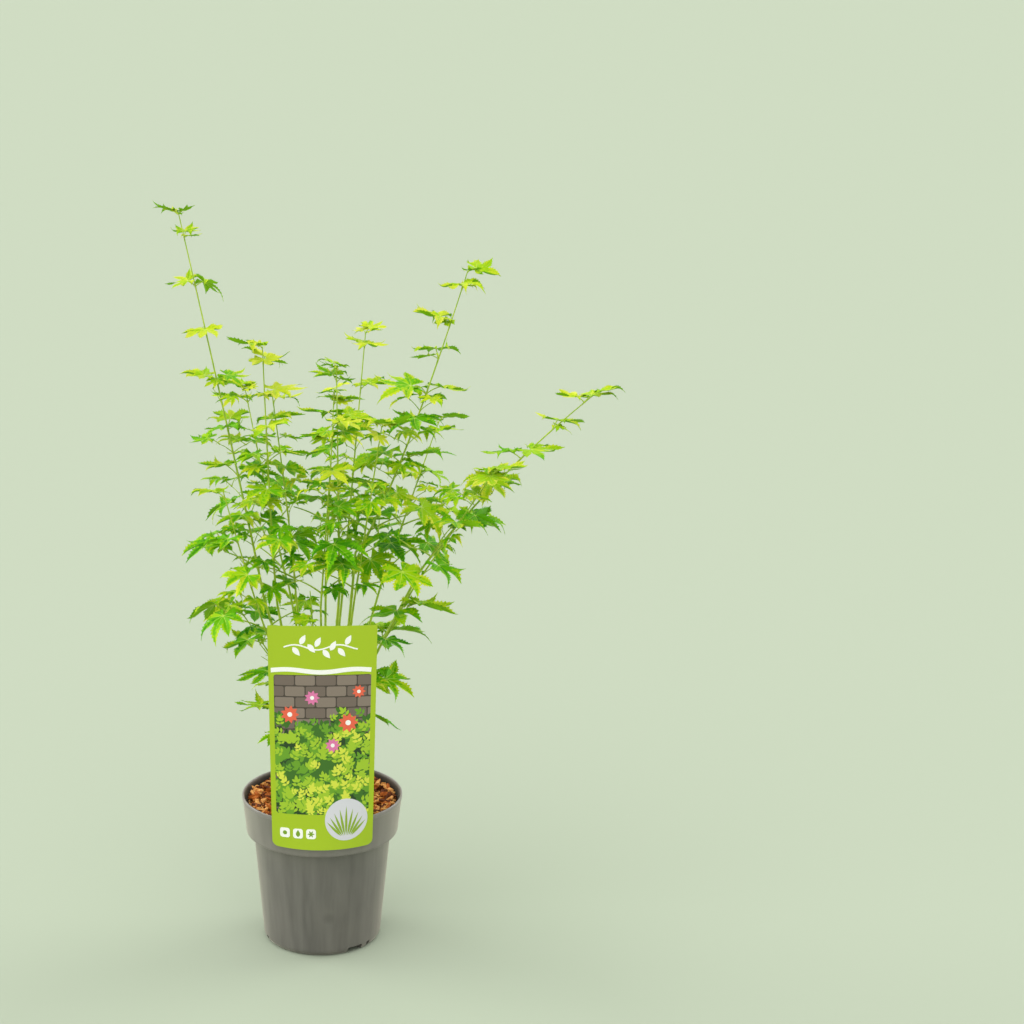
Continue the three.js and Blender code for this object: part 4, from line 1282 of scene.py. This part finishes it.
def chip(dice):
    """A split chip of bark: the hull of a few points round a long flat block, turned at random."""
    block = [dice.uniform(*limits) for limits in CHIP.sizes]
    signs = np.array([(x, y, z) for x in (-1, 1) for y in (-1, 1) for z in (-1, 1)])
    turns = np.arange(6) * math.pi / 3
    shift, wide, tall = CHIP.girth
    middle = np.stack([dice.uniform(-shift, shift, 6), wide * np.cos(turns), tall * np.sin(turns)], 1)
    corners = np.concatenate([signs * CHIP.ends, middle])
    corners = (corners + dice.uniform(-CHIP.rough, CHIP.rough, corners.shape)) * block
    work = bmesh.new()
    for corner in corners:
        work.verts.new(corner)
    bmesh.ops.convex_hull(work, input=work.verts[:])
    loose = [v for v in work.verts if not v.link_faces]
    bmesh.ops.delete(work, geom=loose, context="VERTS")
    bmesh.ops.triangulate(work, faces=work.faces[:])
    work.verts.index_update()
    points = np.array([v.co for v in work.verts])
    faces = np.array([[v.index for v in f.verts] for f in work.faces])
    work.free()
    turned = Matrix.Rotation(dice.uniform(0, 6.3), 3, "Z")
    tilted = Matrix.Rotation(dice.normal(0, 0.3), 3, "Y")
    rolled = Matrix.Rotation(dice.normal(0, 0.5), 3, "X")
    return points @ np.array(turned @ tilted @ rolled).T, faces


# The label: a card that follows the rim below and is flat above, with print in thin raised layers
def card_bend(z):
    """The radius of the card's back at a height."""
    return LABEL_BACK + LABEL.opening * (z - LABEL.bottom)


def on_card(across, front, z):
    """A point of the card, part of a cone that opens upwards and whose front stands upright."""
    narrow = lerp(LABEL.foot_width / LABEL.width, 1, (z - LABEL.bottom) / (LABEL.top - LABEL.bottom))
    x = across * narrow
    bend = card_bend(z)
    y = bend - LABEL_BACK - np.sqrt((bend + front - LABEL_BACK) ** 2 - x ** 2)
    return np.stack([x, y, z], -1)


GLOSS = 0.3


def united(shapes):
    """Flat shapes joined into one outline of triangles, with no face lying on another."""
    corners, outlines = [], []
    for shape in shapes:
        outlines.append(list(range(len(corners), len(corners) + len(shape))))
        corners += [Vector(corner) for corner in shape]
    points, _, faces, _, _, sources = delaunay_2d_cdt(corners, [], outlines, 1, 1e-4)
    return points, [face for face, source in zip(faces, sources) if source]


def printed(name, shapes, inner, outer, material, window=(), cell=(6, 12)):
    """A layer of flat shapes, cut to a window and bent onto the card, from one radius to another."""
    work = bmesh.new()
    points, faces = united(shapes)
    corners = [work.verts.new((*point, 0)) for point in points]
    for face in faces:
        work.faces.new([corners[i] for i in face])
    loose = [v for v in work.verts if not v.link_faces]
    bmesh.ops.delete(work, geom=loose, context="VERTS")

    def cut(axis, place, beyond=0):
        """Splits the faces at a place on an axis, and clears what lies beyond it on one side."""
        at, normal = [0, 0, 0], [0, 0, 0]
        at[axis], normal[axis] = place, beyond or 1
        geometry = work.verts[:] + work.edges[:] + work.faces[:]
        bmesh.ops.bisect_plane(
            work, geom=geometry, plane_co=at, plane_no=normal, clear_outer=bool(beyond)
        )

    for axis, ends in enumerate(zip(*window)):
        for beyond, place in zip((-1, 1), ends):
            cut(axis, place, beyond)
    flat = np.array([v.co for v in work.verts])
    for axis, size in enumerate(cell):
        low, high = flat[:, axis].min(), flat[:, axis].max()
        for place in np.arange(math.ceil(low / size) * size, high, size):
            cut(axis, place)
    bmesh.ops.triangulate(work, faces=work.faces[:])
    for face in work.faces:
        if face.normal.z < 0:
            face.normal_flip()
    raised = bmesh.ops.extrude_face_region(work, geom=work.faces[:])["geom"]
    tops = {v for v in raised if isinstance(v, bmesh.types.BMVert)}
    flat = np.array([v.co for v in work.verts])
    radius = np.array([outer if v in tops else inner for v in work.verts])
    bent = on_card(flat[:, 0], radius, flat[:, 1]) * MM
    for vertex, place in zip(work.verts, bent):
        vertex.co = place
    bmesh.ops.recalc_face_normals(work, faces=work.faces[:])
    mesh = bpy.data.meshes.new(name)
    work.to_mesh(mesh)
    work.free()
    mesh.materials.append(material)
    made = linked(name, mesh)
    shade(made, 30)
    return made


def rounded_rectangle(x0, y0, x1, y1, corners, steps=6):
    """A rectangle with a radius for each corner: lower left, lower right, upper right, upper left."""
    outline = []
    places = ((x0, y0, 180), (x1, y0, 270), (x1, y1, 0), (x0, y1, 90))
    for (x, y, start), radius in zip(places, corners):
        cx = x + radius * (1 if x == x0 else -1)
        cy = y + radius * (1 if y == y0 else -1)
        for i in range(steps + 1 if radius else 1):
            turn = math.radians(start + 90 * i / steps)
            outline.append((cx + radius * math.cos(turn), cy + radius * math.sin(turn)))
    return outline


def disc(x, y, radius, steps=24):
    turns = [2 * math.pi * i / steps for i in range(steps)]
    return [(x + radius * math.cos(t), y + radius * math.sin(t)) for t in turns]


def petal(x, y, length, width, turn, steps=7):
    """A pointed oval from a point outwards."""
    side = [(t, width * math.sin(math.pi * t ** 0.8)) for t in np.linspace(0, 1, steps)]
    flat = side + [(t, -w) for t, w in side[-2:0:-1]]
    c, s = math.cos(turn), math.sin(turn)
    return [(x + length * t * c - w * s, y + length * t * s + w * c) for t, w in flat]


def leaf_spray(x, y, size, turn):
    """A printed spray: two pairs of oval leaflets and one at the end."""
    shapes = [petal(x, y, 0.55 * size, 0.15 * size, turn)]
    for back, spread_by in ((0.12, 0.95), (0.42, 1.15)):
        foot = x - back * size * math.cos(turn), y - back * size * math.sin(turn)
        shapes += [petal(*foot, 0.5 * size, 0.13 * size, turn + side * spread_by) for side in (-1, 1)]
    return shapes


def make_label():
    half, low_corner, top_corner = LABEL.width / 2, LABEL.corner, LABEL.top_corner
    corners = low_corner, low_corner, top_corner, top_corner
    card = rounded_rectangle(-half, LABEL.bottom, half, LABEL.top, corners)
    lime = plain_finish("label_card", linear(166, 194, 26), GLOSS)
    made = printed("label_card", [card], LABEL_BACK, LABEL_FRONT, lime)
    keep(made, "label", "label")
    make_hook(lime)
    make_print()


def make_hook(finish):
    """The hook on the card's back: one strip, out from the card over the lip and down its inside."""
    inner = POT.lip - POT.wall - LABEL.hook_inset
    over = POT.height + LABEL.hook_rise
    bottom = POT.height - LABEL.hook_depth
    t = LABEL.thickness
    upper = ((LABEL_BACK + t / 2, over + t), (inner, over + t), (inner, bottom))
    lower = ((LABEL_BACK + t / 2, over), (inner + t, over), (inner + t, bottom))
    deselect()
    bpy.ops.mesh.primitive_cube_add(size=1)
    made = active("label_hook")
    bpy.ops.object.mode_set(mode="EDIT")
    bpy.ops.mesh.select_all(action="SELECT")
    bpy.ops.mesh.subdivide(number_cuts=7)
    bpy.ops.object.mode_set(mode="OBJECT")
    bend = card_bend(POT.height)
    for vertex in made.data.vertices:
        along = 2 * (vertex.co.y + 0.5)
        leg = min(int(along), 1)
        outer_side, inner_side = (
            lerp(np.array(side[leg]), np.array(side[leg + 1]), along - leg) for side in (upper, lower)
        )
        radius, z = lerp(inner_side, outer_side, vertex.co.z + 0.5)
        x = vertex.co.x * LABEL.hook_width
        vertex.co = Vector((x, bend - math.sqrt(bend ** 2 - x ** 2) - radius, z)) * MM
    made.data.materials.append(finish)
    shade(made, 30)
    keep(made, "label")


LAYER = Sizes(sunk=0.15, first=0.03, step=0.02)
PICTURE = Sizes(
    left=6 - LABEL.width / 2, low=LABEL.bottom + 44, right=LABEL.width / 2 - 6, high=LABEL.top - 58
)
WINDOW = (PICTURE.left, PICTURE.low), (PICTURE.right, PICTURE.high)
STONE = Sizes(wide=24, tall=13, joint=0.7, corners=(2, 2, 2, 2), rows=14, columns=6)
WALL = {"wall_stones": linear(114, 100, 91), "pale_stones": linear(134, 120, 109)}
LEAF_PRINTS = (
    ("shaded_leaves", linear(30, 62, 22), 130, 0.62, (15, 24)),
    ("dark_leaves", linear(58, 108, 26), 110, 0.7, (12, 20)),
    ("mid_leaves", linear(104, 158, 32), 110, 0.72, (10, 17)),
    ("light_leaves", linear(160, 196, 40), 100, 0.7, (9, 15)),
    ("gold_leaves", linear(214, 222, 70), 44, 0.6, (8, 14)),
)
# Flowers: place across, share of the picture's height and length of the petals
FLOWERS = ((-38, 0.72, 11), (-12, 0.84, 9), (30, 0.66, 12), (12, 0.5, 9), (42, 0.88, 8))
PETALS = Sizes(count=9, width=0.26, eye=0.26)
PETAL_TONES = {"coral_petals": linear(232, 100, 72), "pink_petals": linear(224, 120, 170)}
PANEL = Sizes(x=29, y=LABEL.bottom + 37, radius=26)
PLAQUE = Sizes(places=(-52, -36, -20), low=LABEL.bottom + 14, size=12, corners=(3, 3, 3, 3))
WHITE = linear(250, 250, 246)


def stones(tone):
    """Every other stone of a wall whose rows break joint."""
    shapes = []
    for row in range(STONE.rows):
        for column in range(STONE.columns):
            if (row * 3 + column * 5 + row // 3) % 2 == tone:
                x = PICTURE.left + STONE.wide * (column - 0.5 * (row % 2)) + STONE.joint
                y = PICTURE.low + STONE.tall * row + STONE.joint
                far = x + STONE.wide - 2 * STONE.joint, y + STONE.tall - 2 * STONE.joint
                shapes.append(rounded_rectangle(x, y, *far, STONE.corners, 3))
    return shapes


def printed_leaves(dice, count, share, sizes):
    """Leaf sprays over the lower share of the picture, denser towards its foot."""
    shapes = []
    for _ in range(count):
        x, t = dice.uniform(PICTURE.left - 2, PICTURE.right + 2), dice.uniform(0, 1) ** 1.15
        y = PICTURE.low + share * (PICTURE.high - PICTURE.low) * t + 10 * t * math.sin(x / 15)
        shapes += leaf_spray(x, y, dice.uniform(*sizes), dice.uniform(0.2, 2.9))
    return shapes


def ring_of_petals(x, y, length, width, count):
    return [petal(x, y, length, width, 2 * math.pi * k / count) for k in range(count)]


def sprig():
    """A waving twig with a pair of leaves at each bend."""
    middle = LABEL.top - 25
    shapes = []
    for k in range(8):
        turn = math.radians(62 if k % 2 else -50)
        shapes.append(petal(-34 + 8.6 * k, middle + 4 * math.sin(k), 13, 3.2, turn))
    return shapes + [ribbon([(-44 + 4 * k, middle + 3 * math.sin(k / 2)) for k in range(22)], 0.8)]


def grass():
    foot = PANEL.y - 20
    return [
        petal(PANEL.x + 1.6 * k, foot, 37 - 3 * abs(k), 1.5, math.radians(90 - 11 * k))
        for k in range(-4, 5)
    ]


def plaque_signs():
    """A dot, an oval leaf and a star, one on each plaque."""
    first, second, third = (x + PLAQUE.size / 2 for x in PLAQUE.places)
    middle = PLAQUE.low + PLAQUE.size / 2
    leaf = petal(second, middle - 4.4, 9, 2.6, math.pi / 2)
    return [disc(first, middle, 2.6), leaf, *ring_of_petals(third, middle, 4.6, 0.9, 6)]


def make_print():
    """The card's design: a white sprig, a wall with leaf sprays and flowers, and a tuft of grass."""
    left, low, right, high = PICTURE.left, PICTURE.low, PICTURE.right, PICTURE.high
    dice = np.random.default_rng(12)
    level = 0

    def layer(name, shapes, colour, window=()):
        nonlocal level
        level += 1
        outer = LABEL_FRONT + LAYER.first + LAYER.step * level
        finish = plain_finish(f"ink_{name}", colour, GLOSS)
        keep(printed(f"label_{name}", shapes, LABEL_FRONT - LAYER.sunk, outer, finish, window), "label")

    wall = rounded_rectangle(left, low, right, high, (3, 3, 3, 3))
    layer("wall_joints", [wall], linear(72, 62, 55))
    for tone, (name, colour) in enumerate(WALL.items()):
        layer(name, stones(tone), colour, WINDOW)
    for name, colour, count, share, sizes in LEAF_PRINTS:
        layer(name, printed_leaves(dice, count, share, sizes), colour, WINDOW)
    flowers = [(x, lerp(low, high, share), length) for x, share, length in FLOWERS]
    for first, (name, colour) in enumerate(PETAL_TONES.items()):
        shapes = []
        for x, y, length in flowers[first::2]:
            shapes += ring_of_petals(x, y, length, PETALS.width * length, PETALS.count)
        layer(name, shapes, colour, WINDOW)
    layer("flower_eyes", [disc(x, y, PETALS.eye * length) for x, y, length in flowers], WHITE, WINDOW)
    layer("sprig", sprig(), WHITE)
    wave = [(left - 4 + 4 * k, high + 5 + 1.6 * math.sin(k / 3.1)) for k in range(30)]
    layer("wave_band", [ribbon(wave, 2.6)], WHITE, ((left - 3, low), (right + 3, LABEL.top)))
    layer("grass_panel", [disc(PANEL.x, PANEL.y, PANEL.radius, 48)], linear(214, 213, 221))
    layer("grass_blades", grass(), linear(140, 170, 44))
    top = PLAQUE.low + PLAQUE.size
    plaques = [
        rounded_rectangle(x, PLAQUE.low, x + PLAQUE.size, top, PLAQUE.corners) for x in PLAQUE.places
    ]
    layer("plaques", plaques, WHITE)
    layer("plaque_signs", plaque_signs(), linear(120, 158, 30))


def ribbon(path, half):
    """A band of even width along a path."""
    path = np.array(path, float)
    ahead = np.gradient(path, axis=0)
    normal = np.stack([-ahead[:, 1], ahead[:, 0]], 1)
    normal /= np.linalg.norm(normal, axis=1)[:, None]
    return [tuple(p) for p in (*(path - half * normal), *(path + half * normal)[::-1])]


# Camera, light and floor
VIEW = Sizes(distance=2500, height=1170.8, tilt=14.47, pan=4.86, focal=2229, width=1024, sensor=36)
CLIP = 0.05, 200


def make_camera():
    data = bpy.data.cameras.new("camera")
    data.sensor_width = VIEW.sensor
    data.lens = VIEW.focal / VIEW.width * VIEW.sensor
    data.clip_start, data.clip_end = CLIP
    camera = linked("camera", data)
    place = Matrix.Translation((0, -VIEW.distance * MM, VIEW.height * MM))
    level = Matrix.Rotation(math.radians(90 - VIEW.tilt), 4, "X")
    camera.matrix_world = place @ level @ Matrix.Rotation(-math.radians(VIEW.pan), 4, "Y")
    bpy.context.scene.camera = camera


BACKGROUND = linear(204, 216, 192)
SKY = 0.8
FLOOR_GAIN = 1.045
# Suns: height, turn, strength and breadth
SUNS = {
    "key": (50, -28, 1.5, 80), "left": (15, -114, 1.9, 40), "right": (15, 114, 1.6, 40),
    "back": (60, 170, 0.5, 70),
}


def make_lights():
    """Soft suns from the front, sides and back, under an even white sky."""
    for name, (height, turn, strength, breadth) in SUNS.items():
        data = bpy.data.lights.new(name, "SUN")
        data.energy, data.angle = strength, math.radians(breadth)
        lamp = linked(name, data)
        lamp.rotation_euler = (math.radians(90 - height), 0, math.radians(turn))
    world = bpy.data.worlds.new("studio")
    world.use_nodes = True
    background = world.node_tree.nodes["Background"]
    background.inputs["Color"].default_value = (1, 1, 0.98, 1)
    background.inputs["Strength"].default_value = SKY
    bpy.context.scene.world = world


def make_floor():
    """A wide pale floor, as dark as it takes for the background's colour under this light."""
    light = SKY
    for height, _, strength, _ in SUNS.values():
        light += strength * math.sin(math.radians(height)) / math.pi
    colour = (*(FLOOR_GAIN * part / light for part in BACKGROUND[:3]), 1.0)
    finish = plain_finish("pale_floor", colour, 1.0, 0.0)
    deselect()
    bpy.ops.mesh.primitive_circle_add(vertices=96, radius=60, fill_type="NGON", location=(0, 0, 0))
    floor = active("floor")
    floor.data.materials.append(finish)


bpy.context.scene.view_settings.view_transform = "Standard"
make_camera()
make_lights()
make_floor()
make_pot()
make_potting_mix()
make_chips()
make_label()
make_trunk_and_boughs()
make_stems()
make_leaves()
